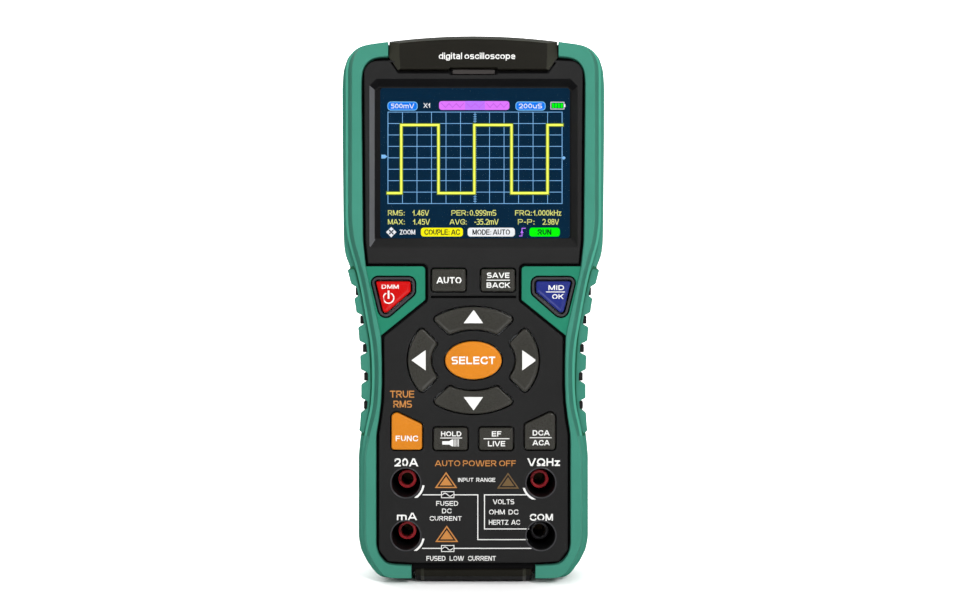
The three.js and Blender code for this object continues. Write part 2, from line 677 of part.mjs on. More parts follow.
// ---------- tilt stand ----------
function tiltStand() {
  const { outer, inner, low, foot, pivotZ, thickness } = STAND;
  const frame = bothSides([[outer, pivotZ], [outer, low, 3]]);
  const opening = rectangle(-inner, inner, low + foot, pivotZ + 5, 2);
  const legs = cut(slab(frame, BACK - thickness, BACK), [slab(opening, 0, 30)]);
  return union([
    legs,
    crossBar(PIVOT_Y, pivotZ, PIVOT_RADIUS, -outer, outer),
    crossBar(PIVOT_Y, pivotZ, PIN, -outer - 2, outer + 2),
  ]);
}
place("tilt_stand", "case_black", tiltStand());
place("stand_foot_pad", "rubber", block(-17, 17, BACK - 3, BACK - 0.4, STAND.low - 1.1, STAND.low - GAP));

export default oscilloscope;
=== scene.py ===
"""Handheld oscilloscope: the visible model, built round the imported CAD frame.

Lengths are in millimetres until a mesh is made. +Z runs up the instrument, -Y points out of its
front face and +X is to its right as seen from the front.
"""
import math

import bmesh
import bpy
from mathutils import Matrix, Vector, geometry


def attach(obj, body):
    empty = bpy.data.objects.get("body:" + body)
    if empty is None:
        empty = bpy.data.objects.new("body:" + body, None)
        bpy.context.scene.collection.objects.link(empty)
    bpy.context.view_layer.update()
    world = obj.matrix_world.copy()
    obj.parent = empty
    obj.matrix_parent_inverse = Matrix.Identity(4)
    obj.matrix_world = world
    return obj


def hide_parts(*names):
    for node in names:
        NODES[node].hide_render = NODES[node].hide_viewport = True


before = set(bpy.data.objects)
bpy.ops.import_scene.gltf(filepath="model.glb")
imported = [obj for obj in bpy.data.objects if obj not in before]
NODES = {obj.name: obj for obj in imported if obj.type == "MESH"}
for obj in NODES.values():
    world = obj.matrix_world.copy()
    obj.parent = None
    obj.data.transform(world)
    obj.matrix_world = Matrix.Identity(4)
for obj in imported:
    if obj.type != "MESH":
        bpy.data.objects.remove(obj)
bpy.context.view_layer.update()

MM = 0.001

# ---------------------------------------------------------------- driving dimensions
FRONT = -21.0
BACK = 21.0
PANEL = FRONT + 0.8
WING = FRONT + 0.7
SPLIT = -14.7
REAR = 20.0
TOP = 198.5
EYE_Z = 99.2  # height of the camera, level with the middle of the front
EYE_DISTANCE = 500

WAIST_TOP = 131
WAIST_LOW = 46
PAD_PITCH = 10.4
PAD_TOP = 113.9
PAD_HEIGHT = 6
PAD_COUNT = 6
RIB_HEIGHT = 3

SCREEN_HALF = 35.5
WINDOW = (-33.8, 35, 124.9, 179.5)
SCREEN_LOW = 124.8
SCREEN_HIGH = 179.4
SCREEN_DEPTH = 3
SLOPE_BREAK = 1.84
GLASS = PANEL + SCREEN_DEPTH + 0.6
NAV_Z = 80.7
NAV_OUTER = (23.6, 19.3)
NAV_INNER = (15.3, 11.1)
SELECT = (10.2, 6.85)
SOCKET_X = 24.35
SOCKET_Z = (17.5, 36.5)
WELL = 5.15
KEY_HOLE = 0.45
KEY_BACK = -15.6
COLLAR_HOLE = 0.6
FLANGE = -17.1  # the front of the ledge inside the case that the rubber and the caps sit on

DOOR = (-22, 22, 43.5, 124.3)
DOOR_THICK = 2.7
DOOR_GAP = 0.3
BAY = (-20, 20, 49.5, 119.5)
BAY_FLOOR = -1.5
CELL_R = 9.2
CELL_X = 9.7
CELL_Y = 8
CELL_LOW = BAY[2] + 2.5
CELL_HIGH = CELL_LOW + 65
STAND_OUTER = 30.4
STAND_INNER = 24.2
STAND_LOW = 27
STAND_FOOT = 9
STAND_THICK = 3.4
PIVOT_Z = 136
PIVOT_R = 2.2
PIVOT_Y = BACK - PIVOT_R
PIN = 1.6
RECESS = 0.4
CASE_SCREWS = ((33, 184), (-33, 184), (11, 13), (-11, 13))
DOOR_SCREWS = (46.8, 121.6)
TORCH_Z = 180
TORCH_R = 3.2


# ---------------------------------------------------------------- colours and materials
def linear(r, g, b):
    """An 8-bit display colour as the linear values a shader takes."""
    return tuple(
        (c / 255 / 12.92) if c <= 10.3 else ((c / 255 + 0.055) / 1.055) ** 2.4 for c in (r, g, b)
    )


def surface(
    name, colour, roughness=0.5, grain=0.5, bump=0.12, vary=0.08, spread=12.0, shine=0.2, **sockets
):
    """Moulded material: fine grain in the relief, slow drift in colour and in gloss."""
    material = bpy.data.materials.new(name)
    material.use_nodes = True
    nodes, links = material.node_tree.nodes, material.node_tree.links
    shader = nodes["Principled BSDF"]
    place = nodes.new("ShaderNodeTexCoord")

    def noise(size_mm, detail):
        node = nodes.new("ShaderNodeTexNoise")
        node.inputs["Scale"].default_value = 1 / (size_mm * MM)
        node.inputs["Detail"].default_value = detail
        links.new(place.outputs["Object"], node.inputs["Vector"])
        return node.outputs["Fac"]

    slow, fine = noise(spread, 3), noise(grain, 2)
    tint = nodes.new("ShaderNodeValToRGB")
    tint.color_ramp.elements[0].position = 0.3
    tint.color_ramp.elements[1].position = 0.7
    tint.color_ramp.elements[0].color = (*(c * (1 - vary) for c in colour), 1)
    tint.color_ramp.elements[1].color = (*(c * (1 + vary) for c in colour), 1)
    links.new(slow, tint.inputs["Fac"])
    links.new(tint.outputs["Color"], shader.inputs["Base Color"])
    gloss = nodes.new("ShaderNodeMapRange")
    gloss.inputs["To Min"].default_value = max(roughness - 0.07, 0.02)
    gloss.inputs["To Max"].default_value = min(roughness + 0.07, 1)
    links.new(fine, gloss.inputs["Value"])
    links.new(gloss.outputs["Result"], shader.inputs["Roughness"])
    relief = nodes.new("ShaderNodeBump")
    relief.inputs["Strength"].default_value = bump
    relief.inputs["Distance"].default_value = 0.05 * MM
    links.new(fine, relief.inputs["Height"])
    links.new(relief.outputs["Normal"], shader.inputs["Normal"])
    shader.inputs["Specular IOR Level"].default_value = shine
    for socket, value in sockets.items():
        shader.inputs[socket.replace("_", " ")].default_value = value
    return material


def lit(name, colour, strength=1.0):
    """A patch of the lit screen: its light drifts a little across the backlight."""
    material = surface(name, tuple(c * 0.05 for c in colour), 0.6, 0.3, 0.02, 0.05, shine=0.0)
    shader = material.node_tree.nodes["Principled BSDF"]
    tint = material.node_tree.nodes["Color Ramp"]
    glow = material.node_tree.nodes.new("ShaderNodeValToRGB")
    for element, level in zip(glow.color_ramp.elements, (0.97, 1.03)):
        element.color = (*(c * level for c in colour), 1)
    source = tint.inputs["Fac"].links[0].from_socket
    material.node_tree.links.new(source, glow.inputs["Fac"])
    material.node_tree.links.new(glow.outputs["Color"], shader.inputs["Emission Color"])
    shader.inputs["Emission Strength"].default_value = strength
    return material


BLACK = surface("case_plastic", linear(25, 25, 25), 0.45, 0.35, 0.2, 0.06, shine=0.035)
CAP = surface("cap_plastic", linear(19, 18, 14), 0.4, 0.35, 0.18, 0.06, shine=0.035)
GREEN = surface("grip_rubber", linear(49, 105, 90), 0.7, 0.3, 0.25, 0.03, shine=0.01)
# Painted shade and painted light: the rail's own rubber, made darker on its bevels and lighter on its
# ledges, as the lamps would shade and light them.
GREEN_PAINTED_SHADE = surface("grip_green_painted_shade", linear(42, 90, 77), 0.7, 0.3, 0.25, 0.03, shine=0.01)
GREEN_PAINTED_LIGHT = surface("grip_green_painted_light", linear(57, 122, 104), 0.7, 0.3, 0.25, 0.03, shine=0.01)
# Painted shade: a flush dark green strip where the groove between the pads' strip and the front rail
# would be shaded.
GROOVE_PAINTED_SHADE = surface("grip_groove_painted_shade", linear(0, 68, 44), 0.7, 0.3, 0.2, 0.04)
WING_GREEN = surface("wing_rubber", linear(29, 97, 76), 0.7, 0.3, 0.25, 0.03, shine=0.01)
# Painted light: a lighter grey for the outer band of the screen recess's left slope, as if a lamp on the
# right lit it.
SLOPE_PAINTED_LIGHT = surface("screen_slope_painted_light", linear(74, 75, 77), 0.3, 0.3, 0.1, 0.05, shine=0.1)
# Painted highlight: a lighter band for the top cap's arched bevel.
CAP_PAINTED_HIGHLIGHT = surface("cap_band_painted_highlight", linear(50, 51, 45), 0.35, 0.3, 0.1, 0.05, shine=0.06)
# Painted light: a lighter tone for the caps' side and end facets.
CAP_PAINTED_LIGHT = surface("cap_facet_painted_light", linear(35, 35, 29), 0.35, 0.3, 0.1, 0.05, shine=0.06)
# The key frames' own grey; on the rims of the socket wells it is a painted highlight.
FRAME_GREY_AND_RIM_HIGHLIGHT = surface("key_frame_grey_and_rim_highlight", linear(45, 45, 47), 0.3, 0.3, 0.1, 0.05, shine=0.06)
KEY_GREY = surface("key_plastic", linear(35, 34, 30), 0.28, 0.3, 0.08, 0.05, shine=0.14)
RED = surface("red_key", linear(150, 1, 1), 0.25, 0.3, 0.05, 0.04, shine=0.08)
BLUE = surface("blue_key", linear(24, 32, 92), 0.25, 0.3, 0.05, 0.04, shine=0.08)
ORANGE = surface("orange_key", linear(164, 98, 20), 0.28, 0.3, 0.05, 0.04, shine=0.08)
WHITE_INK = surface("white_ink", linear(186, 186, 184), 0.55, 0.15, 0.05, 0.03)
ORANGE_INK = surface("orange_ink", linear(150, 98, 42), 0.55, 0.15, 0.05, 0.04)
DIM_INK = surface("dim_ink", linear(80, 60, 30), 0.55, 0.15, 0.05, 0.04)
# A deeper black, used for the socket wells, the screen's mask and a printed patch; on the floors of
# grooves, in the screen's recess and on the bottom cap's underside it is painted shade.
BLACK_AND_PAINTED_SHADE = surface("deep_black_and_painted_shade", linear(10, 10, 11), 0.45, 0.3, 0.15, 0.1, shine=0.03)
SOCKET_RED = surface("socket_red", linear(200, 44, 54), 0.35, 0.3, 0.1, 0.06, shine=0.3)
SOCKET_BLACK = surface("socket_black", linear(36, 36, 38), 0.3, 0.3, 0.1, 0.06, shine=0.3)
BRASS = surface("brass", (0.55, 0.36, 0.13), 0.3, 0.2, 0.1, 0.1, Metallic=1.0)
CONTACT = surface("dull_brass", (0.05, 0.035, 0.018), 0.5, 0.2, 0.1, 0.1, Metallic=1.0)
STEEL = surface("zinc_steel", (0.42, 0.42, 0.43), 0.32, 0.2, 0.12, 0.1, Metallic=1.0)
RUBBER = surface("foot_rubber", linear(30, 30, 30), 0.8, 0.3, 0.3, 0.1)
INDICATOR = surface("indicator_plastic", linear(40, 37, 36), 0.3, 0.4, 0.05, 0.08, shine=0.12)
BOARD = surface("solder_mask", linear(24, 88, 50), 0.4, 0.6, 0.1, 0.15, 4.0)
SILICONE = surface("silicone", linear(141, 144, 146), 0.7, 0.4, 0.1, 0.05)
CERAMIC = surface("fuse_ceramic", linear(217, 214, 204), 0.35, 0.4, 0.05, 0.04)
WRAP = surface("cell_wrap", linear(47, 111, 143), 0.3, 0.4, 0.05, 0.08)
LENS = surface(
    "clear_lens", (0.95, 0.97, 1.0), 0.02, 2.0, 0.005, 0.01, shine=0.5,
    Transmission_Weight=1.0, IOR=1.04,
)
SCREEN_BACK = lit("screen_back", linear(12, 40, 62))
GRID_BLUE = lit("screen_grid", linear(128, 185, 235))
TRACE_EDGE = lit("screen_trace_edge", linear(110, 130, 50))
TRACE = lit("screen_trace", linear(238, 243, 90), 1.2)
READOUT = lit("screen_readout", linear(232, 232, 125))
SCREEN_WHITE = lit("screen_white", linear(240, 240, 240))
SCREEN_BLUE = lit("screen_blue", linear(20, 120, 235))
SCREEN_RIM = lit("screen_rim", linear(120, 190, 245))
SCREEN_PINK = lit("screen_pink", linear(225, 120, 250))
SCREEN_VIOLET = lit("screen_violet", linear(195, 120, 255))
ZIGZAG = lit("screen_zigzag", linear(190, 95, 215))
SCREEN_YELLOW = lit("screen_yellow", linear(250, 240, 20))
SCREEN_GREEN = lit("screen_green", linear(10, 250, 10))
SCREEN_INK = lit("screen_ink", linear(12, 22, 30))


# ---------------------------------------------------------------- outlines, as (x, z) points
def curve_through(*knots):
    """x as a smooth function of z, through knots given as (z, x) from the top down."""
    slope = []
    for i in range(len(knots)):
        before, after = knots[max(i - 1, 0)], knots[min(i + 1, len(knots) - 1)]
        slope.append((after[1] - before[1]) / (after[0] - before[0]))

    def at(z):
        i = 0
        while i < len(knots) - 2 and z < knots[i + 1][0]:
            i += 1
        (z0, x0), (z1, x1) = knots[i], knots[i + 1]
        span = z1 - z0
        t = min(max((z - z0) / span, 0), 1)
        blend = t * t * (3 - 2 * t)
        lead = t * (1 - t) ** 2 * span * slope[i]
        trail = t * t * (1 - t) * span * slope[i + 1]
        return x0 + (x1 - x0) * blend + lead - trail

    return at


rail_side = curve_through(
    (WAIST_TOP, 44.4), (124.1, 43.5), (116.9, 41.5), (109.7, 39.6), (95.3, 36.9), (85, 35.2),
    (74, 34.8), (64, 35.4), (55.7, 37.2), (WAIST_LOW, 38.7),
)
grip_side = curve_through(
    (WAIST_TOP, 47.5), (123, 47.3), (118.5, 46.6), (114.3, 45), (106, 42.9), (98, 41.1),
    (90, 39.9), (82, 39.3), (74, 39), (66, 39.1), (59.5, 39.9), (53, 41.2), (WAIST_LOW, 41.9),
)
pad_side = curve_through(
    (PAD_TOP, 46), (103.2, 43.5), (92.3, 42), (81.7, 41.2), (71.5, 40.9), (61.7, 41.1),
    (54.2, 41.6),
)


def steps(start, end, count):
    return [start + (end - start) * i / count for i in range(count + 1)]


def turns(count):
    """The angles of evenly spaced points on a circle."""
    return steps(0, 2 * math.pi, count)[:-1]


def soft_step(value, start, end):
    t = min(max((value - start) / (end - start), 0), 1)
    return t * t * (3 - 2 * t)


def normals(points, closed=True):
    """The outward normal at each point of a counter-clockwise line, mitred at its corners."""
    out = []
    last = len(points) - 1
    for i, (x, z) in enumerate(points):
        before = points[i - 1] if i or closed else None
        after = points[(i + 1) % len(points)] if i < last or closed else None
        sides = []
        for a, b in ((before, (x, z)), ((x, z), after)):
            if a is not None and b is not None:
                sides.append(Vector((b[1] - a[1], a[0] - b[0])).normalized())
        if len(sides) == 1:
            out.append(sides[0])
        else:
            out.append((sides[0] + sides[1]) / max(1 + sides[0].dot(sides[1]), 0.2))
    return out


def grow(points, distance):
    return [(x + n.x * distance, z + n.y * distance) for (x, z), n in zip(points, normals(points))]


def rounded(corners, arc=6):
    """Rounds the corners of an outline given as (x, z, radius)."""
    points = []
    count = len(corners)
    for i, (x, z, radius) in enumerate(corners):
        if not radius:
            points.append((x, z))
            continue
        corner = Vector((x, z))
        before = (Vector(corners[i - 1][:2]) - corner).normalized()
        after = (Vector(corners[(i + 1) % count][:2]) - corner).normalized()
        half = math.acos(max(-1, min(1, before.dot(after)))) / 2
        start = corner + before * radius / math.tan(half)
        end = corner + after * radius / math.tan(half)
        centre = corner + (before + after).normalized() * radius / math.sin(half)
        a = math.atan2(*(start - centre).yx)
        b = math.atan2(*(end - centre).yx)
        turn = (b - a + math.pi) % (2 * math.pi) - math.pi
        for angle in steps(a, a + turn, arc):
            points.append((centre.x + math.cos(angle) * radius, centre.y + math.sin(angle) * radius))
    return points


def both_halves(*half):
    """All corners of an outline from its right half, given from the top down."""
    half = [(*corner, 0)[:3] for corner in half]
    return half[::-1] + [(-x, z, radius) for x, z, radius in half if x > 0]


class Outline:
    """An outline with rounded corners that can be drawn at any distance outside itself."""

    def __init__(self, corners, arc=6):
        self.corners = [(*corner, 0)[:3] for corner in corners]
        self.arc = arc

    def __call__(self, distance=0.0):
        plain = [(x, z) for x, z, _ in self.corners]
        moved = grow(plain, distance)
        out = []
        for i, ((x, z), (_, _, radius)) in enumerate(zip(moved, self.corners)):
            if radius:
                ax, az = plain[i - 1]
                bx, bz = plain[i]
                cx, cz = plain[(i + 1) % len(plain)]
                convex = (bx - ax) * (cz - bz) - (bz - az) * (cx - bx) > 0
                radius = max(radius + (distance if convex else -distance), 0.03)
            out.append((x, z, radius))
        return rounded(out, self.arc)

    def mirrored(self):
        return Outline([(-x, z, radius) for x, z, radius in reversed(self.corners)], self.arc)


def box_outline(left, right, low, high, radius=0.0, arc=6):
    corners = ((left, low), (right, low), (right, high), (left, high))
    return Outline([(*corner, radius) for corner in corners], arc)


def oval(x, z, a, b=None, count=64):
    b = a if b is None else b

    def at(distance=0.0):
        return [
            (x + (a + distance) * math.cos(t), z + (b + distance) * math.sin(t))
            for t in turns(count)
        ]

    return at


# ---------------------------------------------------------------- meshes
class Body:
    """Collects the surfaces of one piece, in millimetres."""

    def __init__(self):
        self.points = []
        self.faces = []
        self.slots = []
        self.slot = 0

    def face(self, *indices):
        self.faces.append(indices)
        self.slots.append(self.slot)

    def ring(self, points):
        start = len(self.points)
        self.points.extend(points)
        return list(range(start, start + len(points)))

    def loft(self, rings, closed=True):
        """Skins rings of (x, y, z) points that all have the same count."""
        made = [self.ring(ring) for ring in rings]
        count = len(made[0])
        for a, b in zip(made, made[1:]):
            for i in range(count if closed else count - 1):
                j = (i + 1) % count
                self.face(a[i], a[j], b[j], b[i])
        return made

    def fill(self, loops, y):
        """A flat face at y, inside the first loop and outside the others."""
        ids = self.ring([(x, y, z) for loop in loops for x, z in loop])
        points = [Vector(point) for loop in loops for point in loop]
        edges, start = [], 0
        for loop in loops:
            edges += [(start + i, start + (i + 1) % len(loop)) for i in range(len(loop))]
            start += len(loop)
        corners, lines, triangles, origins, line_origins, _ = geometry.delaunay_2d_cdt(
            points, edges, [], 0, 1e-5,
        )
        place = [
            ids[origin[0]] if origin else self.ring([(corner.x, y, corner.y)])[0]
            for corner, origin in zip(corners, origins)
        ]
        walls = {frozenset(line) for line, origin in zip(lines, line_origins) if len(origin) % 2}
        beside = {}
        for i, triangle in enumerate(triangles):
            for pair in zip(triangle, triangle[1:] + triangle[:1]):
                beside.setdefault(frozenset(pair), []).append(i)
        # From the outer rim inwards, every wall that is crossed leads in or out of the shape.
        todo = [(owners[0], line in walls) for line, owners in beside.items() if len(owners) == 1]
        seen = set()
        while todo:
            i, within = todo.pop()
            if i in seen:
                continue
            seen.add(i)
            triangle = triangles[i]
            if within:
                self.face(*(place[corner] for corner in triangle))
            for pair in zip(triangle, triangle[1:] + triangle[:1]):
                line = frozenset(pair)
                todo += [(other, within != (line in walls)) for other in beside[line] if other != i]

    def cap(self, ring, across=0):
        """Closes a ring of points that need not be flat, seen along Y, or along X if across is 1."""
        ids = self.ring(ring)
        flat = [Vector((point[across], point[2], 0)) for point in ring]
        for a, b, c in geometry.tessellate_polygon([flat]):
            self.face(ids[a], ids[b], ids[c])

    def plate(self, outline, profile, holes=(), pockets=()):
        """A solid plate. Its profile, and that of each hole, is (growth, y) from its face back."""
        self.wall(outline, profile)
        face, back = [outline(profile[0][0])], [outline(profile[-1][0])]
        for hole, hole_profile in holes:
            self.wall(hole, hole_profile)
            face.append(hole(hole_profile[0][0]))
            back.append(hole(hole_profile[-1][0]))
        for pocket, pocket_profile in pockets:
            self.wall(pocket, pocket_profile)
            face.append(pocket(pocket_profile[0][0]))
            growth, depth = pocket_profile[-1]
            self.fill([pocket(growth)], depth)
        self.fill(face, profile[0][1])
        self.fill(back, profile[-1][1])

    def wall(self, outline, profile):
        self.loft([[(x, y, z) for x, z in outline(growth)] for growth, y in profile])

    def lathe(self, x, z, profile, count=48):
        """Turns (radius, y) points about the Y axis through (x, z); the profile is closed."""
        rings = [
            [(x + r * math.cos(t), y, z + r * math.sin(t)) for r, y in profile]
            for t in turns(count)
        ]
        self.loft([*rings, rings[0]])

    def box(self, x, y, z, bevel=0.3):
        """A box between pairs of limits, with its front and back edges broken."""
        outline = box_outline(*x, *z, bevel, 3)
        y0, y1 = y
        self.plate(outline, [
            (-bevel, y0), (-bevel * 0.3, y0 + bevel * 0.3), (0, y0 + bevel),
            (0, y1 - bevel), (-bevel * 0.3, y1 - bevel * 0.3), (-bevel, y1),
        ])


def finish_piece(
    name, body, materials, replaces=(), angle=35, rides="case", mirror=False,
):
    """Makes the mesh of one piece, with its materials, its body and the nodes it stands in for."""
    mesh = bpy.data.meshes.new(name)
    side = -1 if mirror else 1
    mesh.from_pydata([(x * side * MM, y * MM, z * MM) for x, y, z in body.points], [], body.faces)
    for polygon, index in zip(mesh.polygons, body.slots):
        polygon.material_index = index
    work = bmesh.new()
    work.from_mesh(mesh)
    bmesh.ops.remove_doubles(work, verts=work.verts, dist=0.002 * MM)
    bmesh.ops.recalc_face_normals(work, faces=work.faces)
    work.to_mesh(mesh)
    work.free()
    mesh.shade_smooth()
    mesh.set_sharp_from_angle(angle=math.radians(angle))
    piece = bpy.data.objects.new(name, mesh)
    bpy.context.scene.collection.objects.link(piece)
    for material in materials if isinstance(materials, (list, tuple)) else [materials]:
        mesh.materials.append(material)
    even = piece.modifiers.new("even_shading", "WEIGHTED_NORMAL")
    even.keep_sharp = True
    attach(piece, rides)
    if replaces:
        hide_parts(*replaces)


def edge(y, size=0.3, away=1):
    """The rounded start of a profile whose face is at y; away is +1 when it runs back to +Y."""
    angles = steps(0, math.pi / 2, 4)
    return [(-size * (1 - math.sin(t)), y + away * size * (1 - math.cos(t))) for t in angles]


def lip(y, size=0.3, away=1):
    """The same for the edge of a hole, which widens towards the face."""
    return [(-growth, depth) for growth, depth in edge(y, size, away)]


# ---------------------------------------------------------------- lines and lettering
def stroke(target, points, width, y, closed=False, thick=0.02):
    """A line of even width along (x, z) points; its ends are square, or cut level if it slants."""
    half = width / 2
    side = normals(points, closed)
    left = [(x + n.x * half, z + n.y * half) for (x, z), n in zip(points, side)]
    right = [(x - n.x * half, z - n.y * half) for (x, z), n in zip(points, side)]
    if closed:
        slab(target, [left, right], y, thick)
        return
    for end, beside in ((0, 1), (-1, -2)):
        (x, z), (x_in, z_in) = points[end], points[beside]
        out = Vector((x - x_in, z - z_in)).normalized()
        for line in (left, right):
            px, pz = line[end]
            if abs(out.y) > 0.35:
                reach = (z + math.copysign(half, out.y) - pz) / out.y
            else:
                reach = half
            line[end] = (px + out.x * reach, pz + out.y * reach)
    slab(target, [left + right[::-1]], y, thick)


def slab(target, loops, y, thick=0.02):
    """A thin flat shape, inside its first loop and outside the others."""
    for loop in loops:
        target.loft([[(x, y, z) for x, z in loop], [(x, y + thick, z) for x, z in loop]])
    target.fill(loops, y)
    target.fill(loops, y + thick)


def patch(target, points, y, thick=0.02):
    slab(target, [points], y, thick)


# Each sign is its width and height in capitals, then its lines as (across, up, rounding) in its own
# box. A line in a list is a closed loop.
ROUND = [(0, 0, 0.5), (1, 0, 0.5), (1, 1, 0.5), (0, 1, 0.5)]
OPEN_ROUND = ((1, 0.8), (1, 1, 0.2), (0, 1, 0.5), (0, 0, 0.5), (1, 0, 0.2), (1, 0.2))
SNAKE = ((0.9, 1), (0, 1, 0.25), (0, 0.5, 0.25), (1, 0.5, 0.25), (1, 0, 0.25), (0.1, 0))
CUP = ((0, 1), (0, 0, 0.5), (1, 0, 0.5), (1, 1))
STEM, FAR_STEM = ((0, 0), (0, 1)), ((1, 0), (1, 1))
TOP_BAR, BASE_BAR = ((0, 1), (1, 1)), ((0, 0), (1, 0))
SIGNS = {
    "A": (1.0, 1, ((0, 0), (0.42, 1), (0.58, 1), (1, 0)), ((0.22, 0.28), (0.78, 0.28))),
    "B": (0.86, 1, ((0, 0), (0, 1), (0.92, 1, 0.23), (0.92, 0.52, 0.23), (0, 0.52)),
          ((0, 0.52), (1, 0.52, 0.26), (1, 0, 0.26), (0, 0))),
    "C": (0.9, 1, OPEN_ROUND),
    "D": (0.87, 1, [(0, 0), (1, 0, 0.5), (1, 1, 0.5), (0, 1)]),
    "E": (0.78, 1, ((1, 1), (0, 1), (0, 0), (1, 0)), ((0, 0.52), (0.92, 0.52))),
    "F": (0.72, 1, ((1, 1), (0, 1), (0, 0)), ((0, 0.5), (0.86, 0.5))),
    "G": (0.95, 1, ((1, 0.82), (1, 1, 0.18), (0, 1, 0.5), (0, 0, 0.5), (1, 0, 0.2), (1, 0.44),
                    (0.6, 0.44))),
    "H": (0.83, 1, STEM, FAR_STEM, ((0, 0.52), (1, 0.52))),
    "I": (0, 1, STEM),
    "K": (0.88, 1, STEM, ((0.92, 1), (0.22, 0.46)), ((0.42, 0.58), (0.95, 0))),
    "L": (0.74, 1, ((0, 1), (0, 0), (1, 0))),
    "M": (1.02, 1, STEM, FAR_STEM,
          ((0.08, 1), (0.41, 0.1), (0.59, 0.1), (0.92, 1))),
    "N": (0.83, 1, STEM, FAR_STEM, ((0.13, 1), (0.87, 0))),
    "O": (0.98, 1, ROUND),
    "P": (0.8, 1, ((0, 0), (0, 1), (1, 1, 0.28), (1, 0.44, 0.28), (0, 0.44))),
    "Q": (0.98, 1, ROUND, ((0.6, 0.22), (1, 0))),
    "R": (0.86, 1, ((0, 0), (0, 1), (0.96, 1, 0.27), (0.96, 0.46, 0.27), (0, 0.46)),
          ((0.52, 0.46), (0.94, 0))),
    "S": (0.82, 1, SNAKE),
    "T": (0.82, 1, TOP_BAR, ((0.5, 1), (0.5, 0))),
    "U": (0.83, 1, CUP),
    "V": (0.96, 1, ((0, 1), (0.42, 0), (0.58, 0), (1, 1))),
    "W": (1.4, 1, ((0, 1), (0.18, 0), (0.31, 0), (0.435, 1), (0.565, 1), (0.69, 0), (0.82, 0),
                   (1, 1))),
    "X": (0.92, 1, ((0.06, 1), (0.94, 0)), ((0.06, 0), (0.94, 1))),
    "Z": (0.8, 1, TOP_BAR, BASE_BAR, ((0.82, 1), (0.18, 0))),
    "0": (0.72, 1, ROUND),
    "1": (0.5, 1, ((0.75, 0), (0.75, 1)), ((0.6, 0.84), (0, 0.62))),
    "2": (0.72, 1, ((0, 0.82), (0, 1, 0.18), (1, 1, 0.28), (1, 0.56, 0.16), (0.14, 0)),
          BASE_BAR),
    "3": (0.72, 1, ((0.05, 1), (0.95, 1, 0.23), (0.95, 0.53, 0.23), (0.45, 0.53)),
          ((0.45, 0.53), (1, 0.53, 0.26), (1, 0, 0.26), (0.05, 0))),
    "4": (0.76, 1, ((0.76, 0), (0.76, 1)), ((0.62, 1), (0.08, 0.26)), ((0, 0.24), (1, 0.24))),
    "5": (0.72, 1, ((0.94, 1), (0.08, 1), (0.08, 0.6), (1, 0.6, 0.29), (1, 0, 0.3), (0.05, 0))),
    "6": (0.72, 1, ((0.9, 1), (0, 1, 0.5), (0, 0, 0.35), (1, 0, 0.29), (1, 0.6, 0.29), (0, 0.6))),
    "8": (0.72, 1, [(0.07, 0.53, 0.23), (0.93, 0.53, 0.23), (0.93, 1, 0.23), (0.07, 1, 0.23)],
          [(0, 0, 0.26), (1, 0, 0.26), (1, 0.53, 0.26), (0, 0.53, 0.26)]),
    "9": (0.72, 1, ((0.1, 0), (1, 0, 0.5), (1, 1, 0.35), (0, 1, 0.29), (0, 0.4, 0.29), (1, 0.4))),
    "a": (0.68, 0.74, ((0.1, 1), (0.95, 1, 0.3), (0.95, 0)),
          ((0.95, 0.56), (0, 0.56, 0.27), (0, 0, 0.27), (0.95, 0))),
    "c": (0.68, 0.74, OPEN_ROUND),
    "d": (0.74, 0.74, ROUND, ((1, 0), (1, 1.48))),
    "e": (0.7, 0.74, ((0, 0.47), (1, 0.47), (1, 1, 0.5), (0, 1, 0.5), (0, 0, 0.5), (0.92, 0))),
    "g": (0.74, 0.74, ROUND, ((1, 1), (1, -0.42, 0.3), (0, -0.42, 0.24), (0, -0.18))),
    "i": (0, 0.74, STEM, ((0, 1.44), (0, 1.48))),
    "k": (0.7, 0.74, ((0, 0), (0, 1.48)), ((0.85, 1), (0.25, 0.42)), ((0.42, 0.5), (0.95, 0))),
    "l": (0, 0.74, ((0, 0), (0, 1.48))),
    "m": (1.12, 0.74, STEM, ((0, 1), (0.5, 1, 0.22), (0.5, 0)),
          ((0.5, 1), (1, 1, 0.22), (1, 0))),
    "o": (0.78, 0.74, ROUND),
    "p": (0.74, 0.74, ROUND, ((0, 1), (0, -0.42))),
    "s": (0.68, 0.74, SNAKE),
    "t": (0.44, 0.74, ((0.42, 1.34), (0.42, 0, 0.3), (1, 0)), TOP_BAR),
    "u": (0.74, 0.74, CUP, ((1, 1), (1, 0))),
    "z": (0.64, 0.74, TOP_BAR, BASE_BAR, ((0.75, 1), (0.25, 0))),
    "\u03a9": (1.0, 1, ((0, 0), (0.33, 0), (0.33, 0.14), (0, 0.34, 0.18), (0, 1, 0.5), (1, 1, 0.5),
                        (1, 0.34, 0.18), (0.67, 0.14), (0.67, 0), (1, 0))),
    ".": (0.32, 1, [(0.3, 0), (0.7, 0), (0.7, 0.05), (0.3, 0.05)]),
    ":": (0.3, 1, [(0.3, 0), (0.7, 0), (0.7, 0.04), (0.3, 0.04)],
          [(0.3, 0.6), (0.7, 0.6), (0.7, 0.64), (0.3, 0.64)]),
    "-": (0.4, 1, ((0, 0.42), (1, 0.42))),
}
WORD_GAP = 0.42
LETTER_GAP = 0.13


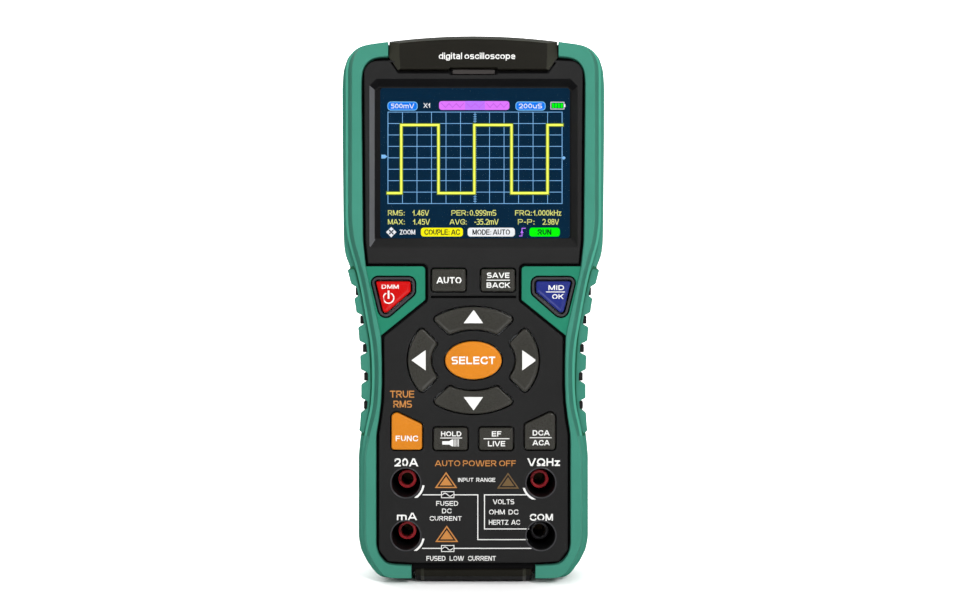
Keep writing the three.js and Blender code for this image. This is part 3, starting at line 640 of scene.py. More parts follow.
def letters(target, text, x, z, height, y, width, weight=0.19, anchor=0.5):
    """Raised ink in the shape of the text, its capitals this high and its lines this heavy."""
    lines = []
    start = 0
    for sign in text:
        if sign == " ":
            start += WORD_GAP - LETTER_GAP
            continue
        wide, tall, *paths = SIGNS[sign]
        wide, tall = max(wide, weight) - weight, tall - weight
        for path in paths:
            points = rounded([(*point, 0)[:3] for point in path], 5)
            closed = isinstance(path, list)
            lines.append(([(start + u * wide, v * tall) for u, v in points], closed))
        start += wide + weight + LETTER_GAP
    total = start - LETTER_GAP
    stretch = width / total
    thickness = height * weight
    for number, (points, closed) in enumerate(lines):
        placed = [
            (x + (u + weight / 2 - total * anchor) * stretch, z + (v + weight / 2 - 0.5) * height)
            for u, v in points
        ]
        stroke(target, placed, thickness, y - 0.002 * (number % 5), closed)


def arc_points(x, z, radius, start, end, count=16):
    angles = [math.radians(d) for d in steps(start, end, count)]
    return [(x + radius * math.cos(t), z + radius * math.sin(t)) for t in angles]


# ---------------------------------------------------------------- camera, light and floor
def camera():
    data = bpy.data.cameras.new("camera")
    data.lens = 52.08
    data.sensor_width = 36
    data.shift_x = 0.0069
    data.shift_y = 0.0094
    data.clip_start = 0.02
    eye = bpy.data.objects.new("camera", data)
    eye.location = (0, (FRONT - EYE_DISTANCE) * MM, EYE_Z * MM)
    eye.rotation_euler = (math.pi / 2, 0, 0)
    bpy.context.scene.collection.objects.link(eye)
    bpy.context.scene.camera = eye


def softbox(name, place, aim, size, watts):
    data = bpy.data.lights.new(name, "AREA")
    data.shape = "RECTANGLE"
    data.size, data.size_y = size
    data.energy = watts
    lamp = bpy.data.objects.new(name, data)
    lamp.location = place
    lamp.rotation_euler = (Vector(aim) - Vector(place)).to_track_quat("-Z", "Y").to_euler()
    bpy.context.scene.collection.objects.link(lamp)


def studio():
    """A wide pale floor that glows more further out, with a curved wall except at the camera."""
    flat, bend, height = 4, 1.5, 2.5
    section = [(r, 0) for r in (0.5, 1.3, 1.7, 2.1, 2.5, 3, flat)]
    section += [
        (flat + bend * math.sin(t), bend - bend * math.cos(t)) for t in steps(0, math.pi / 2, 16)[1:]
    ]
    section += [(flat + bend, height)]
    count = 96
    points = []
    for r, z in section:
        for t in turns(count):
            open_side = soft_step(-math.sin(t), 0.35, 0.75)
            points.append((r * math.cos(t), r * math.sin(t), z * (1 - open_side)))
    mesh = bpy.data.meshes.new("sweep")
    glows = (0, 0.15, 0.3, 0.5, 0.75, 1)
    faces, tones = [tuple(range(count))[::-1]], [0]
    for ring in range(len(section) - 1):
        for i in range(count):
            j = (i + 1) % count
            a, b = ring * count, (ring + 1) * count
            faces.append((a + i, a + j, b + j, b + i))
            tones.append(min(ring, len(glows) - 1))
    mesh.from_pydata(points, [], faces)
    for polygon, tone in zip(mesh.polygons, tones):
        polygon.material_index = tone
    mesh.shade_smooth()
    sweep = bpy.data.objects.new("sweep", mesh)
    for number, glow in enumerate(glows):
        mesh.materials.append(surface(
            f"pale_paper_{number}", (0.9, 0.9, 0.9), 0.9, 3, 0.05, 0.01, 300, 0.1,
            Emission_Color=(1, 1, 1, 1), Emission_Strength=glow,
        ))
    bpy.context.scene.collection.objects.link(sweep)

    world = bpy.data.worlds.new("studio")
    world.use_nodes = True
    world.node_tree.nodes["Background"].inputs["Color"].default_value = (1, 1, 1, 1)
    world.node_tree.nodes["Background"].inputs["Strength"].default_value = 0.2
    bpy.context.scene.world = world
    bpy.context.scene.view_settings.view_transform = "Standard"
    middle = (0, 0, 0.1)
    softbox("key", (0.5, -1.25, 0.75), middle, (0.25, 0.4), 21)
    softbox("fill", (-0.5, -1.35, 0.5), middle, (0.6, 0.6), 9)
    softbox("behind", (-0.8, 1.2, 0.8), middle, (0.6, 0.8), 22)
    softbox("behind_low", (0.9, 1.1, 0.4), middle, (0.8, 0.8), 9)
    softbox("ceiling", (0, 0.4, 2.7), (0, 0.4, 0), (2.6, 2.2), 60)
    softbox("glint", (1.17, -1.05, 0.2), (0, 0, 0.15), (0.4, 0.35), 1)


camera()
studio()

# ---------------------------------------------------------------- shared outlines
WAIST = steps(WAIST_TOP, WAIST_LOW, 72)
PANEL_EDGE = Outline(both_halves(
    (0, 190.9), (40.6, 189.6, 5.8), (40.4, 174.5), (39.9, 124.1), (38.9, 114.6, 0.6),
    (17.4, 114.6, 1.1), (17.4, 102.5, 1.2), (33.3, 89.7, 2.6),
    (33.1, 72), (33.4, 65.5), (34.2, 59), (35, 54.5), (35.1, 51), (35.1, 11.8, 3),
    (31.2, 7.1, 1.5), (22, 6.6),
), 8)


def pad_key(x, z):
    return box_outline(x - 6.1, x + 6.1, z - 4.05, z + 4.05, 0.9)


def ring_key(outer_from, outer_to, inner_from, inner_to):
    """A slice of the ring round the select key, between angles in degrees on its two edges."""
    corners = []
    for (a, b), start, end, count in (
        (NAV_OUTER, outer_from, outer_to, 14), (NAV_INNER, inner_to, inner_from, 8),
    ):
        for i, degrees in enumerate(steps(start, end, count)):
            t = math.radians(degrees)
            corner = 1.3 if i in (0, count) else 0
            corners.append((a * math.cos(t), NAV_Z + b * math.sin(t), corner))
    return Outline(corners)


CORNER_KEY = Outline([(22.6, 109.2, 0.8), (22.6, 105.4, 0.9), (32.2, 97, 1.1), (35.2, 109.2, 0.6)])
SLANT_KEY = Outline([(18.5, 48.5, 1), (29.5, 48.5, 1), (29.5, 62.9, 1.8), (18.5, 57.7, 1.4)])
GREY = KEY_GREY, "key_grey"
KEYS = {
    "power": (CORNER_KEY.mirrored(), RED, "key_red"),
    "confirm": (CORNER_KEY, BLUE, "key_blue"),
    "auto": (pad_key(-8.87, 109.6), *GREY),
    "save": (pad_key(8.87, 109.6), *GREY),
    "up": (ring_key(50.9, 129.1, 55.8, 124.2), *GREY),
    "down": (ring_key(230.9, 309.1, 235.8, 304.2), *GREY),
    "right": (ring_key(-38, 38, -33.2, 33.2), *GREY),
    "left": (ring_key(142, 218, 146.8, 213.2), *GREY),
    "select": (oval(0, NAV_Z, *SELECT, 72), ORANGE, "key_orange"),
    "function": (SLANT_KEY.mirrored(), ORANGE, "key_orange"),
    "range": (SLANT_KEY, *GREY),
    "hold": (pad_key(-8.2, 52.4), *GREY),
    "live": (pad_key(8.2, 52.4), *GREY),
}
SOCKETS = {
    "20a": (-SOCKET_X, SOCKET_Z[1]), "volt": (SOCKET_X, SOCKET_Z[1]),
    "ma": (-SOCKET_X, SOCKET_Z[0]), "com": (SOCKET_X, SOCKET_Z[0]),
}


# ---------------------------------------------------------------- keys
def key(name, outline, material):
    """A key with a rounded rim and a face that sinks a little towards its middle."""
    body = Body()
    rim = [
        (-1.5, FRONT + 0.16), (-1.05, FRONT + 0.1), (-0.75, FRONT + 0.02), (-0.55, FRONT),
        (-0.38, FRONT + 0.03), (-0.2, FRONT + 0.14), (-0.07, FRONT + 0.32), (0, FRONT + 0.6),
        (0, KEY_BACK + 0.2), (-0.2, KEY_BACK),
    ]
    body.plate(outline, rim)
    finish_piece(f"key_cap_{name}", body, material, [f"key_{name}"], 40, f"{name}_key")


for key_name, (outline, material, slot) in KEYS.items():
    key(key_name, outline, material)


# ---------------------------------------------------------------- front shell
def screen_mouth(distance=0.0):
    """Where the recess round the screen meets the panel: its top corners are cut off."""
    return Outline([
        (-37.5, 121.5, 0.8), (37.5, 121.5, 0.8), (37.5, 179.6, 0.5), (35, 182.2, 0.5),
        (-35, 182.2, 0.5), (-37.5, 179.6, 0.5),
    ], 6)(distance)


def screen_hole(distance=0.0):
    corners = [(-1, 0, 1), (1, 0, 1), (1, 1, 1), (1, 1, 0), (-1, 1, 0), (-1, 1, 1)]
    out = []
    for sx, top, side in corners:
        x, z = sx * SCREEN_HALF, SCREEN_HIGH if top else SCREEN_LOW
        if top:
            x, z = (x, z - 1.2) if side else (x - sx * 1.2, z)
        out.append((x, z, 0.5))
    return Outline(out, 6)(distance)


def front_shell():
    """The dark panel with its holes, the recess of the screen and the ledge round its back."""
    body = Body()
    back = SPLIT - 0.2
    holes = [
        (outline, [
            (KEY_HOLE + 0.3, PANEL), (KEY_HOLE + 0.1, PANEL + 0.08), (KEY_HOLE, PANEL + 0.3),
            (KEY_HOLE, back),
        ])
        for name, (outline, _, _) in KEYS.items() if name not in ("power", "confirm")
    ]
    holes += [
        (oval(x, z, WELL), [
            (0.55, PANEL), (0.5, PANEL - 0.14), (0.3, PANEL - 0.2), (0.08, PANEL - 0.12),
            (0, PANEL + 0.35), (0, back),
        ])
        for x, z in SOCKETS.values()
    ]
    groove = box_outline(-15.4, 15.4, 103.15, 103.95, 0.25)
    pockets = [
        (groove, [(0.2, PANEL), (0.05, PANEL + 0.1), (0, PANEL + 0.5), (0, PANEL + 2)]),
        (cap_gap, [(0, PANEL), (0, PANEL + 0.5), (0, PANEL + 2.2)]),
    ]
    slope_y = PANEL + 0.12 + (GLASS - 0.62 - PANEL) * (SLOPE_BREAK - 1)
    body.plate(
        PANEL_EDGE, [(growth - 1, y) for growth, y in edge(PANEL, 0.45)] + [(-1, back)],
        holes + [(screen_path, [
            (0, PANEL), (1, PANEL + 0.12), (SLOPE_BREAK, slope_y), (2, GLASS - 0.5), (3, back),
        ])],
        pockets,
    )
    plain, dark, grey, painted_light_slot = range(4)
    for i, corners in enumerate(body.faces):
        xs, ys, zs = zip(*(body.points[corner] for corner in corners))
        front, deep, low, tall = min(ys), max(ys), min(zs), max(zs) - min(zs)
        # Painted highlight: the raised rims round the socket wells take the lighter grey of the key
        # frames.
        if deep < PANEL - 0.1 and any(
            math.dist((xs[0], zs[0]), middle) < WELL + 0.85 for middle in SOCKETS.values()
        ):
            body.slots[i] = grey
        # Painted shade: the floor and deep walls of the groove under the top keys, and of the gap round
        # the top cap, take the deeper black.
        elif front > PANEL + 0.4 and tall < 9 and (103 < low < 104.1 or low > 183):
            body.slots[i] = dark
        # Painted shade: the top slope of the screen's recess and the inner band of its slopes take the
        # deeper black.
        elif front > PANEL + 0.1 and deep < GLASS - 0.4 and deep - front > 0.5:
            body.slots[i] = dark if low > SCREEN_HIGH - 1.5 or slope_y - 0.1 < front else plain
            # Painted light: the outer band of the left slope takes the lighter grey of the last slot.
            if max(xs) < -SCREEN_HALF and deep < slope_y + 0.1:
                body.slots[i] = painted_light_slot
    for outline in (CORNER_KEY, CORNER_KEY.mirrored()):
        body.slot = grey
        collar(body, outline, back)
    body.slot = dark
    flange = Outline(both_halves((0, 195.2), (30, 195.1), (36, 194.2), (40, 192.2), (43.6, 186), *(
        (rail_side(z) - 0.3, z) for z in WAIST[::6]
    ), (38, 16), (36, 8.6), (31, 4), (0, 4)))
    body.plate(flange, [(0, FLANGE), (0, back)], [
        (hole, [(growth, FLANGE), (growth, back)]) for hole, growth in (
            (PANEL_EDGE, -1.6), (CORNER_KEY, COLLAR_HOLE), (CORNER_KEY.mirrored(), COLLAR_HOLE),
        )
    ])
    finish_piece("front_shell", body, [BLACK, BLACK_AND_PAINTED_SHADE, FRAME_GREY_AND_RIM_HIGHLIGHT, SLOPE_PAINTED_LIGHT], ["front_case"])


def cap_gap(_distance=0.0):
    """The dark gap in the panel round the foot of the top cap and the indicator bar."""
    half = [(30, 188.2), (27.2, 184.1), (8.9, 184.1), (8.6, 183.75), (8.1, 183.55)]
    return Outline(both_halves(*half, (0, 183.55)))()


def screen_path(stage=0.0):
    """The recess seen as one profile: 0 and 1 at the face, 2 at the glass, 3 behind it."""
    if stage == 0:
        return screen_mouth(0.25)
    mouth, hole = screen_mouth(), screen_hole(0.0 if stage <= 2 else 0.3)
    t = min(stage - 1, 1)
    return [tuple(a + (b - a) * t for a, b in zip(p, q)) for p, q in zip(mouth, hole)]


def collar(body, outline, back):
    """The dark frame that stands round a corner key, above the green wing."""
    top = PANEL - 0.35
    body.plate(outline, [(growth + 1.5, y) for growth, y in edge(top, 0.3)] + [(1.5, back)], [
        (outline, [(growth + COLLAR_HOLE, y) for growth, y in lip(top, 0.3)] + [(COLLAR_HOLE, back)]),
    ])


front_shell()


# ---------------------------------------------------------------- front rubber
def side_line(top, side, bottom):
    """Points down one side of the case, from its top notch to its bottom one."""
    return [*top, *((side(z), z) for z in WAIST), *bottom]


def even_line(points, count):
    """The same line with its points spread evenly along it."""
    length = [0.0]
    for a, b in zip(points, points[1:]):
        length.append(length[-1] + math.dist(a, b))
    out, i = [], 0
    for along in steps(0, length[-1], count):
        while i < len(points) - 2 and along > length[i + 1]:
            i += 1
        t = (along - length[i]) / (length[i + 1] - length[i])
        out.append(tuple(a + (b - a) * min(max(t, 0), 1) for a, b in zip(points[i], points[i + 1])))
    return out


def smooth_corner(points, passes=6):
    """Softens a line without moving its ends."""
    for _ in range(passes):
        inner = [
            tuple((a + 2 * b + c) / 4 for a, b, c in zip(p, q, r))
            for p, q, r in zip(points, points[1:], points[2:])
        ]
        points = [points[0], *inner, points[-1]]
    return points


RAIL_OUTER = smooth_corner(even_line(side_line(
    [(30.75, 195.6), (39.2, 194.5), (41.9, 192.9), (43.7, 190), (44.4, 186.7)], rail_side,
    [(38.7, 16.1), (37.9, 12), (35.6, 7.5), (33.2, 3.9), (31.6, 2.6), (29.5, 2.2), (22.4, 2.2)],
), 260))
RAIL_INNER = smooth_corner(even_line([
    (30.75, 190.3), (34.6, 190), (36.9, 189.3), (38.8, 187.7), (40, 185.3), (40.4, 182),
    (40.4, 174.5), (39.9, 124.1), (38.9, 114.6), (33.4, 89.7), (33.1, 80), (33.1, 72),
    (33.4, 65.5), (34.2, 59), (35, 54.5), (35.1, 51), (35.1, 13.8), (34.2, 10.6), (31.8, 7.6),
    (29.4, 6.9), (22.4, 6.6),
], 260), 3)
# Growth and depth across the rail, from its face outwards and from its face inwards. The third
# value outwards is the share of the bevel, which grows wider further up the case.
RAIL_OUT = [
    (-0.25, FRONT, 1), (-0.12, FRONT + 0.03, 1), (-0.03, FRONT + 0.12, 1), (0.1, FRONT + 0.4, 1),
    (0.95, FRONT + 3.6, 0), (1.1, FRONT + 3.8, 0), (1.9, FRONT + 4.1, 0), (2, FRONT + 4.25, 0),
    (2, SPLIT - 0.2, 0), (1.7, SPLIT, 0),
]
BEVEL_ROW, LEDGE_ROW = 3, 5  # the rows between two of these sections that carry painted shade (the bevel) and painted light (the ledge)
BEVEL_LOW = 54  # the height where the painted shade and the painted light end
BEVEL_SPREAD = 0.65
RAIL_IN = [
    (0.42, FRONT), (0.16, FRONT + 0.07), (0, FRONT + 0.28), (0, FRONT + 0.7), (0, FRONT + 2),
    (0, FRONT + 3), (0, FRONT + 3.5), (0, FRONT + 4), (0, SPLIT - 0.2), (0.1, SPLIT),
]


def front_rubber(mirror):
    """A rail down one side of the front, with a wing round the corner key."""
    body = Body()
    outer_normals = [-n for n in normals(RAIL_OUTER, closed=False)]
    inner_normals = [-n for n in normals(RAIL_INNER, closed=False)]
    rings = []
    for (growth, y_out, share), (into, y_in) in zip(RAIL_OUT, RAIL_IN):
        ring = []
        for (x, z), n in zip(RAIL_OUTER, outer_normals):
            spread = BEVEL_SPREAD * soft_step(z, 48, 62) * (1 - 0.3 * soft_step(z, 188, 196))
            out = growth - share * spread
            ring.append((x + n.x * out, y_out, z + n.y * out * 0.3))
        ring += [
            (x + n.x * into, y_in, z + n.y * into)
            for (x, z), n in reversed(list(zip(RAIL_INNER, inner_normals)))
        ]
        rings.append(ring)
    body.loft(rings)
    # Painted shade on the bevel row and painted light on the ledge row, above BEVEL_LOW.
    for i, (_, z) in enumerate(RAIL_OUTER[:-1]):
        if z > BEVEL_LOW:
            for row, tone in ((BEVEL_ROW, 2), (LEDGE_ROW, 3)):
                body.slots[row * len(rings[0]) + i] = tone
    body.cap(rings[0])
    body.cap(rings[-1])
    body.slot = 1
    wing = Outline([
        (17.4, 102.5, 0.9), (33.5, 89.5), (34.4, 89.5), (39.3, 114.6), (17.4, 114.6, 1.3),
    ], 8)
    body.plate(
        wing, edge(WING, 0.35) + [(0, SPLIT - 0.4)],
        [(CORNER_KEY, [(growth + 2, y) for growth, y in lip(WING, 0.2)] + [(2, SPLIT - 0.4)])],
    )
    side = "left" if mirror else "right"
    finish_piece(
        f"rail_overmould_{side}", body, [GREEN, WING_GREEN, GREEN_PAINTED_SHADE, GREEN_PAINTED_LIGHT],
        [f"front_grip_{side}"], 40, mirror=mirror,
    )


for flipped in (False, True):
    front_rubber(flipped)

# ---------------------------------------------------------------- side rubber
CASE_SHOULDER = [(39.5, 195.5), (43.1, 194.2), (46, 191), (47.5, 186.2), (47.9, 180)]
CASE_FOOT = [(41.9, 15.8), (41.1, 11.5), (38.9, 7.1), (35.6, 2.7), (33.6, 1.3), (31, 1)]
GRIP_LINE = smooth_corner(even_line(side_line(
    [(31.6, 196.7), *CASE_SHOULDER, (47.8, 160), (47.6, 140)], grip_side,
    [(41.9, 30), *CASE_FOOT, (22.4, 1)],
), 420), 5)
NOTCHES = [
    (PAD_TOP - i * PAD_PITCH - PAD_PITCH, PAD_TOP - i * PAD_PITCH - PAD_HEIGHT)
    for i in range(PAD_COUNT - 1)
]
PAD_LOW = PAD_TOP - (PAD_COUNT - 1) * PAD_PITCH - PAD_HEIGHT - 1.5
NOTCH_SINK = 0.6


def in_pads(z):
    """1 along the row of pads, falling to 0 past its two ends."""
    return soft_step(z, PAD_LOW - 1.5, PAD_LOW + 2) * (1 - soft_step(z, PAD_TOP - 2, PAD_TOP + 1.5))


def pad_height(z):
    """How far the pads stand out of the grip at this height; the notches between them sink in."""
    if not PAD_LOW - 0.6 < z < PAD_TOP + 0.6:
        return 0
    height = pad_side(min(max(z, 54.2), PAD_TOP)) - grip_side(z) + NOTCH_SINK
    height *= soft_step(z, PAD_LOW - 0.5, PAD_LOW + 0.7)
    height *= 1 - soft_step(z, PAD_TOP - 0.7, PAD_TOP + 0.5)
    for low, high in NOTCHES:
        height *= 1 - soft_step(z, low - 0.7, low + 0.9) * (1 - soft_step(z, high - 0.9, high + 0.7))
    return height - NOTCH_SINK * in_pads(z)


# The grip's section from its front edge round to its back: growth and depth where it is plain,
# then growth, depth and the share of the pads' height where it carries them.
GRIP_SECTION = [
    (-2.6, -14.5, -2.7, -14.5, 0), (-1.75, -14.55, -2.4, -14.7, 0), (-1.6, -14.55, -2.1, -14.86, 0),
    (-1.45, -14.5, -1.95, -14.9, 0), (-0.6, -14.2, -1.5, -14.92, 0), (-0.4, -14.1, -1.4, -14.95, 0),
    (-0.25, -13.95, -1, -15.12, 0), (-0.16, -13.8, -0.6, -15.2, 0.4),
    (-0.08, -13.6, -0.3, -15.2, 1), (0, -13.2, -0.12, -15.05, 1), (0, -12.4, 0, -14.7, 1),
    (0, -11, 0, -13.6, 1.03), (0, -6, 0, -6, 1.05), (0, 0, 0, 0, 1.05), (0, 6, 0, 6, 1.05),
    (0, 8.6, 0, 8.6, 1), (0, 9.6, 0, 9.6, 0.8), (-0.15, 10.4, -0.15, 10.4, 0.25),
    (-0.35, 11, -0.35, 11, 0), (-1.1, 13, -1.1, 13, 0), (-1.8, 14.2, -1.8, 14.2, 0),
    (-2.1, 14.45, -2.1, 14.45, 0), (-2.6, 14.5, -2.6, 14.5, 0),
]
GROOVE_SHADE_ROW = 3


def side_rubber(mirror):
    """The grip that wraps one side of the case behind the parting line."""
    body = Body()
    lines = [-n for n in normals(GRIP_LINE, closed=False)]
    rings = []
    for plain_growth, plain_y, pad_growth, pad_y, share in GRIP_SECTION:
        ring = []
        for (x, z), n in zip(GRIP_LINE, lines):
            blend = in_pads(z) if z < WAIST_TOP else 0
            growth = plain_growth + (pad_growth - plain_growth) * blend
            y = plain_y + (pad_y - plain_y) * blend
            ring.append((x + n.x * (growth + pad_height(z) * share), y, z + n.y * growth))
        rings.append(ring)
    made = body.loft([*rings, rings[0]], closed=False)
    for end in (0, -1):
        body.face(*(ring[end] for ring in made[:-1]))
    per_row = len(GRIP_LINE) - 1
    # Painted shade: along the pads, a flush row of the grip takes the dark green of the groove's shade;
    # near the pads' ends more rows take it, so the line closes round them.
    for i, (_, z) in enumerate(GRIP_LINE[:-1]):
        if in_pads(z) > 0.04:
            ends = in_pads(z + 1.2) < 0.04 or in_pads(z - 1.2) < 0.04
            for row in range(GROOVE_SHADE_ROW, GROOVE_SHADE_ROW + (5 if ends else 1)):
                body.slots[row * per_row + i] = 1
    side = "left" if mirror else "right"
    finish_piece(
        f"side_overmould_{side}", body, [GREEN, GROOVE_PAINTED_SHADE], [f"side_grip_{side}"], 50,
        mirror=mirror,
    )


for flipped in (False, True):
    side_rubber(flipped)


# ---------------------------------------------------------------- end caps
CAP_ROOT = -17.2


def crest(x):
    """The height of the arched top of the case at its front."""
    return TOP - 0.45 - (x / 30.4) ** 2 * 1.95


def top_cap():
    """The raised front with its bevelled brim, and the crown that arches over to the back."""
    body = Body()

    def nose(side, arch, foot_x, foot_z):
        """The raised front: its arch, its slanted lower corners and the indicator's notch."""
        half = [(x, crest(x) - arch) for x in (0, 10, 20)] + [(side, crest(side) - arch)]
        half += [(side, 190), (foot_x, foot_z), (8.9, foot_z), (8.5, foot_z + 0.55)]
        return Outline(both_halves(*half, (0, foot_z + 0.55)))()

    face, brim = nose(26.4, 1.75, 26.1, 185.85), nose(26.6, 1.6, 26.3, 185.7)
    root = nose(30.4, 0, 27.2, 185.45)
    rings = [[(x, FRONT + 0.1, z) for x, z in face], [(x, FRONT + 0.17, z) for x, z in brim]]
    for arch_y, side_y, drop in ((FRONT + 2.6, PANEL + 0.25, 0.3), (FRONT + 3.3, PANEL + 0.6, 0)):
        rings.append([
            (x, arch_y if z > 191 else side_y, z - drop if z > 191 else z) for x, z in root
        ])
    rings.append([(x, CAP_ROOT, z) for x, z in root])
    body.loft(rings)
    # Painted light on the bevels of the nose's sides, and a painted highlight on the bevel along its
    # arched top.
    plain, side_bevel, arch_bevel = range(3)
    for i in range(len(root), 2 * len(root)):
        heights = [body.points[corner][2] for corner in body.faces[i]]
        if min(heights) > 194:
            body.slots[i] = arch_bevel
        else:
            body.slots[i] = side_bevel if max(heights) > 187 else plain
    body.fill([face], FRONT + 0.1)
    body.fill([root], CAP_ROOT)
    arch = [(x, crest(x)) for x in steps(30.4, 0, 24)]
    crown = [(0, FRONT + 3.4), (0.45, -6), (0.45, 13.2), (0.15, 14.2), (-0.55, 14.8)]
    rings = []
    for drop, y in crown:
        half = [(x, z + drop) for x, z in arch]
        line = half + [(-x, z) for x, z in half[-2::-1]]
        rings.append([(x, y, z) for x, z in [(30.4, 195.2), *line, (-30.4, 195.2)][::-1]])
    body.loft(rings)
    body.cap(rings[0])
    body.cap(rings[-1])
    finish_piece("top_cap", body, [CAP, CAP_PAINTED_LIGHT, CAP_PAINTED_HIGHLIGHT], ["top_end_cap"], 25)


def bottom_cap():
    """One section drawn across the case; it lifts and sinks where the foot ends."""
    body = Body()
    section = [
        (-20.5, 5.2), (-20.65, 5.0), (-20.75, 3.3), (-20.55, 2.9), (-16, 0.35), (-15, 0.05), (-14, 0),
        (13.5, 0), (14.4, 0.3), (15, 1.2), (15, 3), (CAP_ROOT, 3), (CAP_ROOT, 5.2),
    ]
    stations = [
        (-21, 0.9, 1.3), (-20.8, 0.5, 1.15), (-19.2, 0.3, 1.05), (-19, 0.25, 1),
        *((x, 0, 0) for x in steps(-17.8, 17.8, 12)), (19, 0.25, 1), (19.2, 0.3, 1.05),
        (20.8, 0.5, 1.15), (21, 0.9, 1.3),
    ]
    rings = []
    for x, lift, sink in stations:
        arch = 0.00075 * max(abs(x) - 11, 0) ** 2.4
        rings.append([(x, y + (sink if y < -20 else 0), max(z, arch + lift)) for y, z in section])
    body.loft(rings)
    # Painted light on the slanted end facets of the foot, and painted shade on its downward facets.
    bevel, underside = 1, 2
    for station in range(len(rings) - 1):
        for i in range(len(section)):
            if station in (3, len(rings) - 5):
                body.slots[station * len(section) + i] = bevel
            elif 2 < i < 6:
                body.slots[station * len(section) + i] = underside
    body.cap(rings[0], 1)
    body.cap(rings[-1], 1)
    finish_piece("bottom_cap", body, [CAP, CAP_PAINTED_LIGHT, BLACK_AND_PAINTED_SHADE], ["bottom_end_cap"], 30)


top_cap()
bottom_cap()


# ---------------------------------------------------------------- sockets
def socket(name, x, z):
    """A well with a coloured sleeve deep inside it, and the contact within that."""
    shroud = Body()
    shroud.lathe(x, z, [
        (WELL, -17.8), (6.4, -17.8), (6.4, 3), (3.7, 3), (3.7, 1.5), (4.9, 1.5), (WELL, 1.25),
    ])
    finish_piece(f"well_{name}", shroud, BLACK_AND_PAINTED_SHADE, [f"socket_shroud_{name}"])
    start = PANEL + 11.9
    sleeve = Body()
    sleeve.lathe(x, z, [
        (2.25, start + 0.35), (2.35, start + 0.12), (2.5, start), (3.1, start),
        (3.3, start + 0.1), (3.4, start + 0.35), (3.4, 5), (2.9, 5), (2.9, start + 3),
        (2.25, start + 3),
    ])
    material, slot = (
        (SOCKET_BLACK, "socket_black") if name == "com" else (SOCKET_RED, "socket_red")
    )
    finish_piece(f"sleeve_{name}", sleeve, material, [f"socket_sleeve_{name}"])
    contact = Body()
    contact.lathe(x, z, [
        (2.05, start + 3.5), (2.2, start + 3.3), (2.6, start + 3.3), (2.6, 7), (0, 7), (0, 5.5),
        (2.05, 5.5),
    ])
    finish_piece(
        f"contact_{name}", contact, CONTACT, [f"socket_contact_{name}"],
    )


for socket_name, (socket_x, socket_z) in SOCKETS.items():
    socket(socket_name, socket_x, socket_z)


# ---------------------------------------------------------------- rear shell
REAR_LINE = smooth_corner(even_line(side_line(
    [(0, 198), (31.5, 196.7), *CASE_SHOULDER], grip_side, [*CASE_FOOT, (0, 1)],
), 300), 3)


def rear_outline(growth=0.0):
    right = grow_open(REAR_LINE, growth - 3.1)
    left = [(-x, z) for x, z in right[-2:0:-1]]
    return right[::-1] + left[::-1]


def grow_open(points, distance):
    """Moves a line outwards; its ends stay on the middle line of the case."""
    moved = [
        (max(x - n.x * distance, 0), z - n.y * distance)
        for (x, z), n in zip(points, normals(points, closed=False))
    ]
    return [(0, moved[0][1]), *moved[1:-1], (0, moved[-1][1])]


